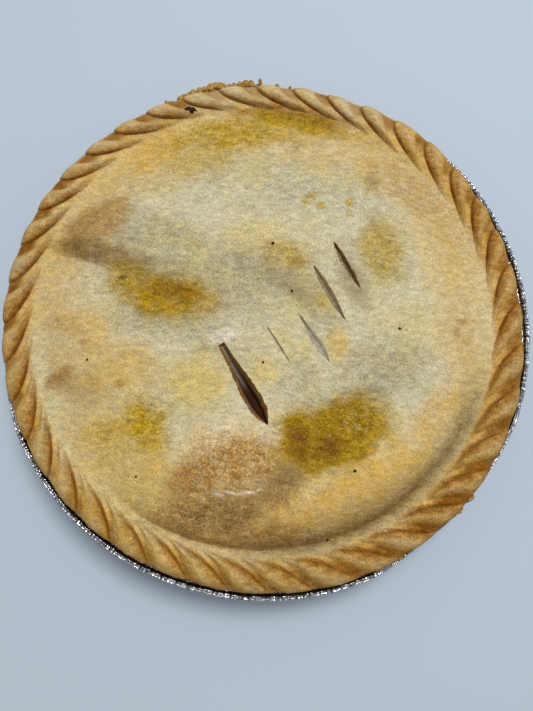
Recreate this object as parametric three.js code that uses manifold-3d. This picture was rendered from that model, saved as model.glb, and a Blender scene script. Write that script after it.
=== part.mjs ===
// A family-size steak pie, baked in its own foil plate.
// Two pieces: the pie, one solid of pastry with a rope-crimped edge and a lumpy lid with steam slits,
// and the fluted foil plate with a rolled rim that it sits in.
// Millimetres, +Z up. The origin is the middle of the plate's flat base.

import * as THREE from 'three';
import { mergeVertices } from 'three/addons/utils/BufferGeometryUtils.js';
import Module from 'manifold-3d';

const { degToRad, radToDeg, euclideanModulo, clamp, smoothstep, lerp } = THREE.MathUtils;

// Foil plate
const RIM_DIAMETER = 230; // over the rolled edge: a nine-inch plate
const PLATE_HEIGHT = 30; // floor to the top of the rolled edge
const BASE_DIAMETER = 176; // the flat that it stands on
const FLANGE_DIAMETER = 210; // where the wall turns out into the flange
const FLANGE_FALL = 0.8; // from the top of the roll down to the foil where wall and flange meet
const FLANGE_TURN = 1; // the bend between wall and flange
const FOIL_THICKNESS = 0.2;
const ROLL_DIAMETER = 2.3; // the rolled edge
const CORNER_RADIUS = 4; // base to wall
const FLUTES = 60; // pleats pressed into the wall
const FLUTE_DEPTH = 0.9; // crest to trough

// Pie
const FIT_GAP = 0.4; // between the baked pastry and the foil
const PIE_SHIFT = new THREE.Vector2(-1.4, 0.3); // the pastry lies a little off the plate's middle
const CRUST_RADIUS = 111; // outer edge of the rope crimp
const CRUST_LIP = 1.2; // from the foil's roll up to the widest line of the crust's edge
const CRUST_UNDERCUT = 1.8; // how far the crust's underside pulls in from its edge
const ROPE_FOOT_RADIUS = 97.5; // inner tips of the crimp's ribs
const GUTTER_HEIGHT = 35; // the lid between the crimp and the dome
const DOME_FOOT_RADIUS = 95.5;
const DOME_RISE = 6.5;
const DOME_RUN = 40; // how far in the dome's shoulder reaches
const DOME_POWER = 1.7; // above 1, the shoulder starts gently
const LUMP_FADE = 14; // lumps and folds die out over this distance before the dome's foot

// Sides where the dome differs: the direction, the cosines of the turn from it where the change starts and
// ends, and the run and power there
const DOME_SIDES = [
  { facing: degToRad(280), start: 0.55, end: 0.95, run: 24, power: 0.7 }, // steep at the near side
  { facing: degToRad(218), start: 0.5, end: 0.95, run: 60, power: 1.2 }, // low at the near left
];

// Rope crimp: ribs that start at an inner tip and sweep outwards, anticlockwise seen from above
const RIBS = 40;
const RIB_PITCH = (2 * Math.PI) / RIBS;
const FIRST_TIP = degToRad(2.45);
const RIB_SWEEP = 1.37; // pitches between a rib's inner tip and its outer end
const RIB_CURL = 2.6; // above 1, a rib leaves its tip along the rim and then turns outwards
const TIP_CURL = 0.85; // below 1, the very tip curls more
const RIB_HEIGHT = 2.8;
const RIB_BULGE = 0.3; // how far each rib's outer end stands out of the round outline
const RIB_UNEVENNESS = 0.16; // share by which one rib's size differs from another's
const RIB_LEAN = 0.62; // power of the sweep where ribs hardly bow
const RIB_PHASES = [0, 0.2, 0.4, 0.62, 0.84, 0.95]; // from one crease to just before the next
const RIB_CREST = 0.52; // where in its width a rib is highest
const RIB_FOOT = 1.6; // above 1, a rib rises softly out of the valley
const TIP_REACH = 0.5; // share of the crimp's width over which a rib widens from its inner tip
const TIP_TAPER = 1.4; // above 1, it widens quickly at first

// Waves that make the ribs' spacing uneven: waves round the rim, height in pitches, start
const CREASE_WAVES = [
  { waves: 1, height: 0.056, start: degToRad(-41) },
  { waves: 2, height: 0.072, start: degToRad(-50) },
  { waves: 3, height: 0.049, start: degToRad(12) },
  { waves: 6, height: 0.039, start: degToRad(45) },
];

// The crimp round the pie, by angle in degrees: the valley beside a rib and the two sides of the rib's inner
// tip, in pitches; how far the ribs bow, from 0 to 1; how far the crust's edge stands out
const CRIMP_SIDES = [
  { angle: 0, valley: 0.18, tipLeft: 0.45, tipRight: 0.9, bow: 0.6, edge: 0.2 },
  { angle: 35, valley: 0.18, tipLeft: 0.5, tipRight: 1, bow: 1, edge: 0.5 },
  { angle: 54, valley: 0.2, tipLeft: 0.52, tipRight: 1, bow: 1, edge: 2.2 },
  { angle: 72, valley: 0.24, tipLeft: 0.46, tipRight: 1, bow: 1, edge: 0.4 },
  { angle: 105, valley: 0.26, tipLeft: 0.38, tipRight: 1, bow: 1, edge: 0.6 },
  { angle: 150, valley: 0.28, tipLeft: 0.44, tipRight: 1, bow: 1, edge: 0.6 },
  { angle: 190, valley: 0.14, tipLeft: 0.5, tipRight: 0.96, bow: 1, edge: -0.4 },
  { angle: 225, valley: 0.05, tipLeft: 0.45, tipRight: 0.9, bow: 0.8, edge: -0.7 },
  { angle: 262, valley: 0.06, tipLeft: 0.4, tipRight: 0.76, bow: 0.5, edge: -0.2 },
  { angle: 290, valley: 0.16, tipLeft: 0.26, tipRight: 0.62, bow: 0.1, edge: 1.4 },
  { angle: 322, valley: 0.2, tipLeft: 0.24, tipRight: 0.55, bow: 0, edge: 1.8 },
  { angle: 345, valley: 0.2, tipLeft: 0.32, tipRight: 0.7, bow: 0.3, edge: 1.4 },
];

// Section of the crimp, from the ribs' inner tips (share 0) to its outer edge (share 1):
// radius, height in the creases, and the share of RIB_HEIGHT by which the ribs stand above them
const CRIMP_SECTION = [
  { share: 0, radius: ROPE_FOOT_RADIUS, crease: GUTTER_HEIGHT, rib: 0 },
  { share: 0.1, radius: 99.0, crease: 35.2, rib: 0.6 },
  { share: 0.27, radius: 101.6, crease: 35.5, rib: 0.95 },
  { share: 0.48, radius: 104.5, crease: 35.6, rib: 0.9 },
  { share: 0.68, radius: 107.1, crease: 35.3, rib: 0.77 },
  { share: 0.87, radius: 109.3, crease: 34.3, rib: 0.58 },
  { share: 1, radius: CRUST_RADIUS - RIB_BULGE, crease: 32.8, rib: 0.4 },
];

// Broken edge: ragged flakes of the bottom crust that stand out beyond the crimp
const FLAKE_SECTOR = [degToRad(88), degToRad(138)];
const FLAKE_REACH = { shortest: 0.5, longest: 2.4 };
const EDGE_UNEVENNESS = 0.25; // of the rest of the edge, in and out

// Rises and hollows of the lid: middle, half-length, half-breadth, turn of the long axis, rise
const LUMPS = [
  { x: -20, y: 42, long: 62, broad: 24, turn: -3, rise: 2.5 }, // broad rise over the far half
  { x: -73, y: 33, long: 18, broad: 10, turn: 20, rise: 2.8 }, // lump by the left edge
  { x: 2, y: 26, long: 26, broad: 11, turn: -12, rise: 1.8 }, // rise beside the slits
  { x: -44, y: 5, long: 22, broad: 9, turn: -4, rise: -2.4 }, // left gravy hollow
  { x: 31, y: -49, long: 23, broad: 12, turn: 24, rise: -4.6 }, // deep gravy hollow
  { x: 40, y: -70, long: 34, broad: 12, turn: 27, rise: 3.6 }, // long bulge at the near right
  { x: -8, y: -62, long: 18, broad: 12, turn: 0, rise: 3.4 }, // crusty lump at the near edge
  { x: -53, y: -55, long: 27, broad: 13, turn: -40, rise: 1.4 }, // bulge at the near left
  { x: -82, y: -14, long: 15, broad: 12, turn: 0, rise: 2.0 }, // bulge at the left
  { x: -45, y: -49, long: 11, broad: 10, turn: 0, rise: -2.0 }, // small gravy hollow
  { x: 46, y: 30, long: 15, broad: 12, turn: 70, rise: -1.0 }, // shallow hollow by the last slit
  { x: 2, y: 88, long: 30, broad: 7, turn: 0, rise: -1.2 }, // gutter where gravy ran out
];

// Folds of the lid: a crease along a line, with a bank on the left of it. Points, width and rise of the bank
const FOLDS = [
  {
    points: [[-93, 20.5], [-81, 18.5], [-72, 15.5], [-63, 13.5], [-50, 13], [-36, 11.5], [-24, 7]],
    width: 4.5,
    rise: 3.6,
  },
  { points: [[-92, -36], [-86, -35], [-82, -31.5], [-74, -26]], width: 2.2, rise: 1.6 },
];
const FOLD_BEGIN = 0.06; // share of a fold's length over which it rises
const FOLD_FADE = 0.45; // share from which on it dies out
const BANK_REACH = 4; // widths over which the bank dies out beside the fold

// Steam slits: ends of the cut, width at the widest point, where along the cut that is, width of the blunt
// start as a share, depth
const SLITS = [
  { from: [-17.8, -15.1], to: [3.4, -46.7], width: 7.4, widest: 0.7, blunt: 0.45, depth: 5.5 },
  { from: [0.0, -5.9], to: [11.7, -22.3], width: 0.9, widest: 0.5, blunt: 0, depth: 1.5 },
  { from: [12.0, 1.4], to: [26.6, -19.6], width: 4.0, widest: 0.66, blunt: 0, depth: 2.2 },
  { from: [18.2, 20.4], to: [32.9, -2.2], width: 3.2, widest: 0.45, blunt: 0.1, depth: 2.2 },
  { from: [26.2, 31.6], to: [38.7, 11.9], width: 3.2, widest: 0.45, blunt: 0.1, depth: 2.8 },
];

// Rings that carry the lid's surface: their radii, and points to a ring in shares of the crimp's
const LID_RINGS = [
  { radii: [DOME_FOOT_RADIUS, 92.5, 89, 85, 80.5, 75.5, 69.5, 63], share: 1 / 2 },
  { radii: [56, 49, 42, 35, 28], share: 1 / 4 },
  { radii: [21, 14, 7], share: 1 / 8 },
];
const CRIMP_POINTS = RIBS * RIB_PHASES.length;

const PASTRY_COLOUR = 0xd8bb7c;
const FOIL_COLOUR = 0xc9ccd0;

const wasm = await Module();
wasm.setup();

// A repeatable value from -1 to 1 for a whole number
function scatter(index) {
  const value = Math.sin(index * 12.9898 + 4.1414) * 43758.5453;
  return 2 * (value - Math.floor(value)) - 1;
}

function solidFrom(geometry) {
  const bare = geometry.clone();
  bare.deleteAttribute('normal');
  bare.deleteAttribute('uv');
  const merged = mergeVertices(bare, 1e-4);
  return new wasm.Manifold(new wasm.Mesh({
    numProp: 3,
    vertProperties: merged.attributes.position.array,
    triVerts: new Uint32Array(merged.index.array),
  }));
}

function geometryFrom(solid) {
  const { vertProperties, triVerts } = solid.getMesh();
  const geometry = new THREE.BufferGeometry();
  geometry.setAttribute('position', new THREE.BufferAttribute(vertProperties, 3));
  geometry.setIndex(new THREE.BufferAttribute(triVerts, 1));
  geometry.computeVertexNormals();
  return geometry;
}

// A point beside an axis, from its distance, angle and height
function pointAround(axis, radius, angle, height) {
  const x = axis.x + radius * Math.cos(angle);
  const y = axis.y + radius * Math.sin(angle);
  return new THREE.Vector3(x, y, height);
}

// Triangles between two rings that run anticlockwise, the second one further along the surface.
// The rings have equal counts, or one has twice the other's, or one is a single point.
function stripBetween(a, b) {
  const at = (ring, i) => ring[i % ring.length];
  const triangles = [];
  const single = Math.min(a.length, b.length) === 1;
  const steps = single ? Math.max(a.length, b.length) : Math.min(a.length, b.length);
  for (let i = 0; i < steps; i += 1) {
    if (b.length === 1) {
      triangles.push(at(a, i), at(a, i + 1), b[0]);
    } else if (a.length === 1) {
      triangles.push(a[0], at(b, i + 1), at(b, i));
    } else if (a.length === b.length) {
      triangles.push(at(a, i), at(a, i + 1), at(b, i + 1), at(a, i), at(b, i + 1), at(b, i));
    } else if (a.length > b.length) {
      const middle = at(a, 2 * i + 1);
      triangles.push(at(a, 2 * i), middle, at(b, i), middle, at(b, i + 1), at(b, i));
      triangles.push(middle, at(a, 2 * i + 2), at(b, i + 1));
    } else {
      const middle = at(b, 2 * i + 1);
      triangles.push(at(a, i), at(a, i + 1), middle, at(a, i), middle, at(b, 2 * i));
      triangles.push(at(a, i + 1), at(b, 2 * i + 2), middle);
    }
  }
  return triangles;
}

// A closed skin through rings of points, from a single point at one end to one at the other
function loft(rings) {
  const points = [];
  const numbered = rings.map((ring) => ring.map((point) => points.push(point) - 1));
  const index = numbered.slice(1).flatMap((ring, i) => stripBetween(numbered[i], ring));
  const geometry = new THREE.BufferGeometry().setFromPoints(points);
  geometry.setIndex(index);
  return geometry;
}

// Foil plate

const ROLL_RADIUS = ROLL_DIAMETER / 2;
const ROLL_CENTRE = new THREE.Vector2(RIM_DIAMETER / 2 - ROLL_RADIUS, PLATE_HEIGHT - ROLL_RADIUS);
const ROLL_DEGREES = [215, 270, 325, 20, 75, 130, 165]; // round the roll, from flange to flange
const FLANGE_TOP = PLATE_HEIGHT - FLANGE_FALL;
const WALL_FOOT = new THREE.Vector2(BASE_DIAMETER / 2 + CORNER_RADIUS, CORNER_RADIUS);

// Radius of the wall's outer face at a height, between its foot and the flange
function wallRadius(height) {
  const share = (height - WALL_FOOT.y) / (FLANGE_TOP - WALL_FOOT.y);
  return lerp(WALL_FOOT.x, FLANGE_DIAMETER / 2, share);
}

// Half section of the plate: underside and outer face out to the roll, then back over the upper face
function plateProfile() {
  const halfway = (WALL_FOOT.y + FLANGE_TOP) / 2;
  const bend = CORNER_RADIUS * Math.SQRT1_2;
  const base = [
    new THREE.Vector2(0, 0),
    new THREE.Vector2(BASE_DIAMETER / 2, 0),
    new THREE.Vector2(BASE_DIAMETER / 2 + bend, CORNER_RADIUS - bend),
  ];
  const wall = [
    WALL_FOOT,
    new THREE.Vector2(wallRadius(halfway), halfway),
    new THREE.Vector2(wallRadius(FLANGE_TOP - FLANGE_TURN), FLANGE_TOP - FLANGE_TURN),
    new THREE.Vector2(FLANGE_DIAMETER / 2 + FLANGE_TURN, FLANGE_TOP - FOIL_THICKNESS),
  ];
  const roll = ROLL_DEGREES.map((degrees) => new THREE.Vector2(
    ROLL_CENTRE.x + ROLL_RADIUS * Math.cos(degToRad(degrees)),
    ROLL_CENTRE.y + ROLL_RADIUS * Math.sin(degToRad(degrees)),
  ));
  const lift = new THREE.Vector2(0, FOIL_THICKNESS);
  const liftAndInset = new THREE.Vector2(-FOIL_THICKNESS, FOIL_THICKNESS);
  const upper = [
    ...base.map((point) => point.clone().add(lift)),
    ...wall.map((point) => point.clone().add(liftAndInset)),
  ];
  return [...base, ...wall, ...roll, ...upper.reverse()];
}

// How strongly the flutes show: not at the base, fully in the wall, not at the roll
function fluteShare(radius, height) {
  const inWall = smoothstep(height, CORNER_RADIUS, 2.5 * CORNER_RADIUS);
  return inWall * (1 - smoothstep(radius, FLANGE_DIAMETER / 2, ROLL_CENTRE.x - ROLL_RADIUS));
}

function plateGeometry() {
  const turned = new THREE.LatheGeometry(plateProfile(), 2 * FLUTES);
  turned.rotateX(Math.PI / 2);
  const place = turned.attributes.position;
  const point = new THREE.Vector3();
  for (let i = 0; i < place.count; i += 1) {
    point.fromBufferAttribute(place, i);
    const radius = Math.hypot(point.x, point.y);
    const side = Math.cos(FLUTES * Math.atan2(point.y, point.x)); // 1 on a crest, -1 in a trough
    const push = side * 0.5 * FLUTE_DEPTH * fluteShare(radius, point.z);
    const scale = radius > 0 ? (radius + push) / radius : 1;
    place.setXYZ(i, point.x * scale, point.y * scale, point.z);
  }
  return geometryFrom(solidFrom(turned));
}

// Pie

// Height of one rise or hollow at a point of the lid
function lumpHeight(lump, x, y) {
  const turn = degToRad(lump.turn);
  const along = (x - lump.x) * Math.cos(turn) + (y - lump.y) * Math.sin(turn);
  const across = (y - lump.y) * Math.cos(turn) - (x - lump.x) * Math.sin(turn);
  return lump.rise * Math.exp(-((along / lump.long) ** 2) - (across / lump.broad) ** 2);
}

// Distance of a point from a line of straight stretches, above 0 on its left, and the share of the line's
// length at the nearest place
function besideLine(points, x, y) {
  const corners = points.map((corner) => new THREE.Vector2(...corner));
  let nearest = Infinity;
  let nearestRun = 0;
  let run = 0;
  for (let i = 1; i < corners.length; i += 1) {
    const step = corners[i].clone().sub(corners[i - 1]);
    const offset = new THREE.Vector2(x, y).sub(corners[i - 1]);
    const along = clamp(offset.dot(step) / step.lengthSq(), 0, 1);
    offset.addScaledVector(step, -along);
    const away = offset.length() * (step.cross(offset) < 0 ? -1 : 1);
    if (Math.abs(away) < Math.abs(nearest)) {
      nearest = away;
      nearestRun = run + along * step.length();
    }
    run += step.length();
  }
  return { away: nearest, share: nearestRun / run };
}

// Height of the bank beside a fold
function foldHeight({ points, width, rise }, x, y) {
  const { away, share } = besideLine(points, x, y);
  const up = Math.max(away, 0) / width;
  const bank = (1 - Math.exp(-up)) * Math.exp(-up / BANK_REACH);
  return rise * bank * smoothstep(share, 0, FOLD_BEGIN) * (1 - smoothstep(share, FOLD_FADE, 1));
}

// Height of the dome above the gutter, at a distance inside its foot and a direction
function domeHeight(inside, turn) {
  let run = DOME_RUN;
  let power = DOME_POWER;
  for (const side of DOME_SIDES) {
    const share = smoothstep(Math.cos(turn - side.facing), side.start, side.end);
    run += share * (side.run - DOME_RUN);
    power += share * (side.power - DOME_POWER);
  }
  return DOME_RISE * (1 - (1 - clamp(inside / run, 0, 1)) ** 2) ** power;
}

// Height of the lid above the plate's base
function lidHeight(x, y) {
  const out = new THREE.Vector2(x, y).sub(PIE_SHIFT);
  const inside = DOME_FOOT_RADIUS - out.length();
  const lumps = LUMPS.reduce((sum, lump) => sum + lumpHeight(lump, x, y), 0);
  const folds = FOLDS.reduce((sum, fold) => sum + foldHeight(fold, x, y), 0);
  const fade = smoothstep(inside, 0, LUMP_FADE);
  return GUTTER_HEIGHT + domeHeight(inside, out.angle()) + (lumps + folds) * fade;
}

function lidRing(radius, count) {
  return Array.from({ length: count }, (_, i) => {
    const point = pointAround(PIE_SHIFT, radius, FIRST_TIP + (2 * Math.PI * i) / count, 0);
    return point.setZ(lidHeight(point.x, point.y));
  });
}

// The crimp's sizes in one direction, between two rows of the table
function crimpSide(angle) {
  const degrees = euclideanModulo(radToDeg(angle), 360);
  const before = CRIMP_SIDES.findLast((side) => side.angle <= degrees);
  const after = CRIMP_SIDES.find((side) => side.angle > degrees) ?? CRIMP_SIDES[0];
  const share = (degrees - before.angle) / euclideanModulo(after.angle - before.angle, 360);
  const sizes = Object.keys(before).map((name) => [name, lerp(before[name], after[name], share)]);
  return Object.fromEntries(sizes);
}

// How much of a rib's full height it has at a phase between two creases and a share of the crimp's width
function ribBody(phase, share, { valley, tipLeft, tipRight }) {
  const tip = Math.max(0, 1 - share / TIP_REACH) ** TIP_TAPER;
  const left = lerp(valley, tipLeft, tip);
  const right = lerp(1, tipRight, tip);
  const along = clamp((phase - left) / (right - left), 0, 1);
  const rising = Math.sin(0.5 * Math.PI * Math.min(along / RIB_CREST, 1)) ** RIB_FOOT;
  const falling = Math.sqrt(1 - (Math.max(along - RIB_CREST, 0) / (1 - RIB_CREST)) ** 2);
  return rising * falling;
}

// A point of the crimp, from its rib, its phase between two creases and its row of the section
function crimpPoint(ribNumber, phase, { share, radius, crease, rib }, bulge) {
  const place = ribNumber + phase;
  const ahead = CREASE_WAVES.reduce((sum, { waves, height, start }) => (
    sum + height * Math.cos(waves * RIB_PITCH * place + start)
  ), 0);
  const bowed = RIB_SWEEP * (1 - (1 - share) ** RIB_CURL) ** TIP_CURL;
  const leaning = RIB_SWEEP * share ** RIB_LEAN;
  const side = crimpSide(FIRST_TIP + RIB_PITCH * (place + ahead + bowed));
  const angle = FIRST_TIP + RIB_PITCH * (place + ahead + lerp(leaning, bowed, side.bow));
  const swell = (1 + RIB_UNEVENNESS * scatter(ribNumber)) * ribBody(phase, share, side);
  const reach = radius + side.edge * share ** 2 + bulge * swell;
  return pointAround(PIE_SHIFT, reach, angle, crease + rib * RIB_HEIGHT * swell);
}

// One ring of the crimp: a few points to a rib, each kept at its place between two creases
function crimpRing(row, bulge = 0) {
  return Array.from({ length: CRIMP_POINTS }, (_, i) => {
    const phase = RIB_PHASES[i % RIB_PHASES.length];
    return crimpPoint(Math.floor(i / RIB_PHASES.length), phase, row, bulge);
  });
}

// The crust's edge, uneven all round and ragged where flakes of the bottom crust stand out
function raggedEdge(ring) {
  const { shortest, longest } = FLAKE_REACH;
  return ring.map((point, i) => {
    const angle = Math.atan2(point.y, point.x);
    const flaky = angle > FLAKE_SECTOR[0] && angle < FLAKE_SECTOR[1];
    const reach = flaky ? lerp(shortest, longest, Math.abs(scatter(i))) : EDGE_UNEVENNESS * scatter(i);
    const outwards = new THREE.Vector3(Math.cos(angle), Math.sin(angle), 0);
    return point.clone().addScaledVector(outwards, reach);
  });
}

// Ring of the pie's side against the foil, centred on the plate
function sideRing(radius, height, count) {
  const start = FIRST_TIP + RIB_PITCH * RIB_SWEEP;
  const axis = new THREE.Vector2(0, 0);
  return Array.from({ length: count }, (_, i) => (
    pointAround(axis, radius, start + (2 * Math.PI * i) / count, height)
  ));
}

// The pie before the slits are cut: base, side, underside of the crust, edge, crimp and lid
function uncutPie() {
  const wallGap = FLUTE_DEPTH / 2 + FOIL_THICKNESS + FIT_GAP;
  const floor = FOIL_THICKNESS + FIT_GAP;
  const ledge = PLATE_HEIGHT + FIT_GAP; // pastry that lies over the flange and the roll
  const wallTop = FLANGE_TOP - FLANGE_TURN;
  const rim = { ...CRIMP_SECTION.at(-1), rib: 0 };

  const side = [
    [new THREE.Vector3(0, 0, floor)],
    sideRing(BASE_DIAMETER / 2 - FIT_GAP, floor, CRIMP_POINTS / 4),
    sideRing(WALL_FOOT.x - wallGap - FIT_GAP, WALL_FOOT.y + FIT_GAP, CRIMP_POINTS / 2),
    sideRing(wallRadius(wallTop) - wallGap, wallTop, CRIMP_POINTS / 2),
    sideRing(FLANGE_DIAMETER / 2 - FIT_GAP, ledge, CRIMP_POINTS),
  ];
  const underside = crimpRing({ ...rim, crease: ledge, radius: CRUST_RADIUS - CRUST_UNDERCUT });
  const edge = raggedEdge(crimpRing({ ...rim, crease: ledge + CRUST_LIP }, RIB_BULGE));
  const crimp = CRIMP_SECTION.map((row) => crimpRing(row, row.share * RIB_BULGE)).reverse();
  const lid = LID_RINGS.flatMap(({ radii, share }) => (
    radii.map((radius) => lidRing(radius, CRIMP_POINTS * share))
  ));
  const top = new THREE.Vector3(PIE_SHIFT.x, PIE_SHIFT.y, lidHeight(PIE_SHIFT.x, PIE_SHIFT.y));
  return solidFrom(loft([...side, underside, edge, ...crimp, ...lid, [top]]));
}

// A lens-shaped blade that reaches from above the lid down to the bottom of one steam slit
function slitBlade({ from, to, width, widest, blunt, depth }) {
  const start = new THREE.Vector2(...from);
  const along = new THREE.Vector2(...to).sub(start);
  const length = along.length();
  const outline = new THREE.Shape();
  outline.moveTo(0, -0.5 * blunt * width);
  outline.quadraticCurveTo(widest * length, -width, length, 0);
  outline.quadraticCurveTo(widest * length, width, 0, 0.5 * blunt * width);
  const middle = along.clone().multiplyScalar(widest).add(start);
  const bottom = lidHeight(middle.x, middle.y) - depth;
  const blade = new THREE.ExtrudeGeometry(outline, {
    depth: 3 * depth,
    bevelEnabled: false,
    curveSegments: 7,
  });
  blade.rotateZ(along.angle());
  blade.translate(start.x, start.y, bottom);
  return solidFrom(blade);
}

function pieGeometry() {
  return geometryFrom(SLITS.reduce((solid, slit) => solid.subtract(slitBlade(slit)), uncutPie()));
}

const steakPie = new THREE.Group();
steakPie.name = 'steak_pie';

const foilPlate = new THREE.Mesh(
  plateGeometry(),
  new THREE.MeshStandardMaterial({ color: FOIL_COLOUR, roughness: 0.3, metalness: 1 }),
);
foilPlate.name = 'foil_plate';

const pie = new THREE.Mesh(
  pieGeometry(),
  new THREE.MeshStandardMaterial({ color: PASTRY_COLOUR, roughness: 0.75, metalness: 0 }),
);
pie.name = 'pie';

steakPie.add(foilPlate, pie);

export default steakPie;
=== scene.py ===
"""Looks of a family-size steak pie in its foil plate.

Laid out as an add-on and run as a script. It bakes the pie's skin, chars a few spots, breaks crumbs off
its edge, presses the foil plate and sets a plain studio around the packed solids: metres, +Z up, origin
at the middle of the plate's base. Tables of places on the pie are in millimetres.
"""

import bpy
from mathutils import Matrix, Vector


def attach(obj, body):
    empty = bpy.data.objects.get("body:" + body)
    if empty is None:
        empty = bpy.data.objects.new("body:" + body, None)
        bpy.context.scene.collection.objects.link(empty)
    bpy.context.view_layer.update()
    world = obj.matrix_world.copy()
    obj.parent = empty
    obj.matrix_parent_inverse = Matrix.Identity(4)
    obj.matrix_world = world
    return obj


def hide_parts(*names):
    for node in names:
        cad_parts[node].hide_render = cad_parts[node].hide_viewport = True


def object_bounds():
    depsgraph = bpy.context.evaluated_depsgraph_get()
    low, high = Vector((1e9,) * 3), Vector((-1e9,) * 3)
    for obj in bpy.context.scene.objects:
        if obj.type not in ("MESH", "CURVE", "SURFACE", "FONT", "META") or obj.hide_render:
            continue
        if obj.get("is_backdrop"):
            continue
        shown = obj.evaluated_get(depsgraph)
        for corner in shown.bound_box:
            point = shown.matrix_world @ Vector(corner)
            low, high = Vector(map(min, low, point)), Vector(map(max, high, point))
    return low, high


bl_info = {
    "name": "Steak Pie",
    "version": (1, 0, 0),
    "blender": (4, 5, 0),
    "location": "3D View > Sidebar > Steak Pie",
    "description": "Bakes a rope-crimped steak pie, presses its foil plate and sets a studio around them",
    "category": "Object",
}

import math
from collections import namedtuple
from types import SimpleNamespace

import bpy
import numpy as np
from mathutils import Matrix, Vector
from mathutils.bvhtree import BVHTree

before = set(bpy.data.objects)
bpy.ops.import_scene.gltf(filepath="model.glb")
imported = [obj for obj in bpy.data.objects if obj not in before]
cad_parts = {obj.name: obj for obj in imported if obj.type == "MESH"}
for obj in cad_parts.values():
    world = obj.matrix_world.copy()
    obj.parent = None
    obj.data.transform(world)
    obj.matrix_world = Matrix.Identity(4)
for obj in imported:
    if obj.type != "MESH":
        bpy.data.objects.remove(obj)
CAD_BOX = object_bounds()

MM = 0.001
FLOOR_HALF = 6000  # half the studio floor's side
NOISE_CELLS = 64  # the noise repeats after this many cells
NOISE_GAIN = 1.5  # brings it to about -1 to 1

# Fineness of the meshes
LID_SPACING = 0.9  # between the rings of the lid
LID_MIDDLE = 2  # radius within which the last of them lies
RIB_COLUMNS = 24  # lines from one crease of the crimp to the next
CRIMP_RINGS = 26  # rings from the crust's edge to the ribs' inner tips
CRIMP_CROWDING = 1.25  # above 1, they lie closer together at the tips
SLIT_STEPS = 40  # sections along a slit
PLATE_COLUMNS = 1440  # lines round the foil plate
WALL_RINGS = 9  # rings up its wall
ROLL_RINGS = 17  # rings round its rolled edge

# Angles above which an edge stays sharp
PIE_SHARP = math.radians(50)
CRUMB_SHARP = math.radians(40)
FOIL_SHARP = math.radians(20)

# Sides of the pie, as angles from its right
RIGHT = 0.0
LEFT = math.pi
NEAR = math.radians(280)  # the dome stands steep
NEAR_LEFT = math.radians(218)  # the dome rises gently
LEAK = math.radians(80)  # gravy ran out under the crimp
LEAK_END = math.radians(107)  # where it ran to
SHADED_FOOT_SIDE = math.radians(307)  # the dome's foot lies in painted shade
WARM = math.radians(335)  # the crimp took most colour
MILD = math.radians(225)  # the crimp is evenly golden
PALE_TIPS = math.radians(255)  # the ribs' tips took hardly any colour
FAR = math.radians(88)  # the ribs took least colour

# Unevenness: height of the bumps, their breadth, seed
LID_BUMPS = [(0.35, 15, 1), (0.2, 6, 2), (0.08, 2.4, 3)]
CRIMP_BUMPS = [(0.2, 6, 6), (0.1, 2.4, 7)]
EDGE_BUMPS = [(0.72, 4, 8), (0.4, 1.6, 9)]
CRAG_BUMPS = [(0.25, 2.1, 5)]
# Unevenness of colour: strength, breadth of a blotch, seed
BLOTCHES = [(0.5, 20, 31), (0.3, 9, 32), (0.1, 4, 33)]
BUTTER_CLOUDS = [(0.15, 6, 35)]
# How the edges of patches wander, as a share of their size: share, breadth of a bay, seed
WANDER = [(0.22, 9, 0), (0.08, 4, 1)]
# Ridges of the crusted skin
RIDGE_HEIGHT = 0.6
RIDGE_BREADTH = 4.5
RIDGE_STRETCH = 1.4  # how much longer they are from left to right

# Seeds of the other random draws
COLOUR_SEED = 41
RELIEF_SEED = 47
RIDGE_SEED = 4
RIB_SEED = 11
SLIT_SEED = 20
ROLL_SEED = 60
SMALL_CRUMB_SEED = 70
BLISTER_SEED = 100
SPECK_SEED = 120
CRUMB_SEED = 150

# Bands of the lid, as radii
GOLDEN_RING = (60, 94)  # over which it takes colour
RING_WANDER = 9  # how far the inner edge of that wanders
PALE_SIDES = (86, 94)  # over which some sides lose it again
NEAR_FACE = (82, 93)  # over which the dome's near face browns, partly as painted shade
GUTTER = (94, 96.5)  # over which the dome gives way to the gutter
BROWN_AND_SHADED_FOOT = (94.5, 2)  # browned line at the dome's foot, partly painted shade, with its half-width
SHADED_FOOT_BAND = (94, 4.5)  # band of painted shade there, with its half-width

# Grain of the materials' patterns. Flour, fat and foil creases are finer: these are drawn as coarse as they
# need to be to show.
FLOUR_GRAIN = 0.7
ROLLED_STREAKS = 1.8
CRUST_MOTTLE = 2.2
SKIN_STRANDS = 2.2
STAIN_CLOUDS = 5
CRUMB_GRAIN = 0.9
CHAR_GRAIN = 0.6
FOIL_CREASES = 0.9
FOIL_RIPPLES = 1.6

# Finish of the baked skin
EYE_GAMMA = 2.2  # grain is added in steps that look even
GRAIN_CONTRAST = 0.46
FLECK_CONTRAST = 1.6  # of the flecks in crusted skin, beside the grain's
FILM_WRINKLES = 12  # height of the wet film's wrinkles, beside the grain's
DRY_ROUGHNESS = 0.8
WET_ROUGHNESS = 0.22

# Colours of the skin and of the slits, each laid over the ones before it; some skin layers also carry painted
# shade
SKIN_LAYERS = ("damp_and_shade", "buttery", "golden", "toasted_and_shade", "browned", "painted_shade", "gravy", "dark_gravy", "flour")
SLIT_LAYERS = ("cut", "lips", "filling")

DOME_POWER = 1.7  # above 1, the dome's shoulder starts gently
FOOT_CREASE = (0.8, 1.2)  # crease at the near side of its foot: how far inside, half-width
FOOT_CREASE_DEPTH = 0.8

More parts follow.
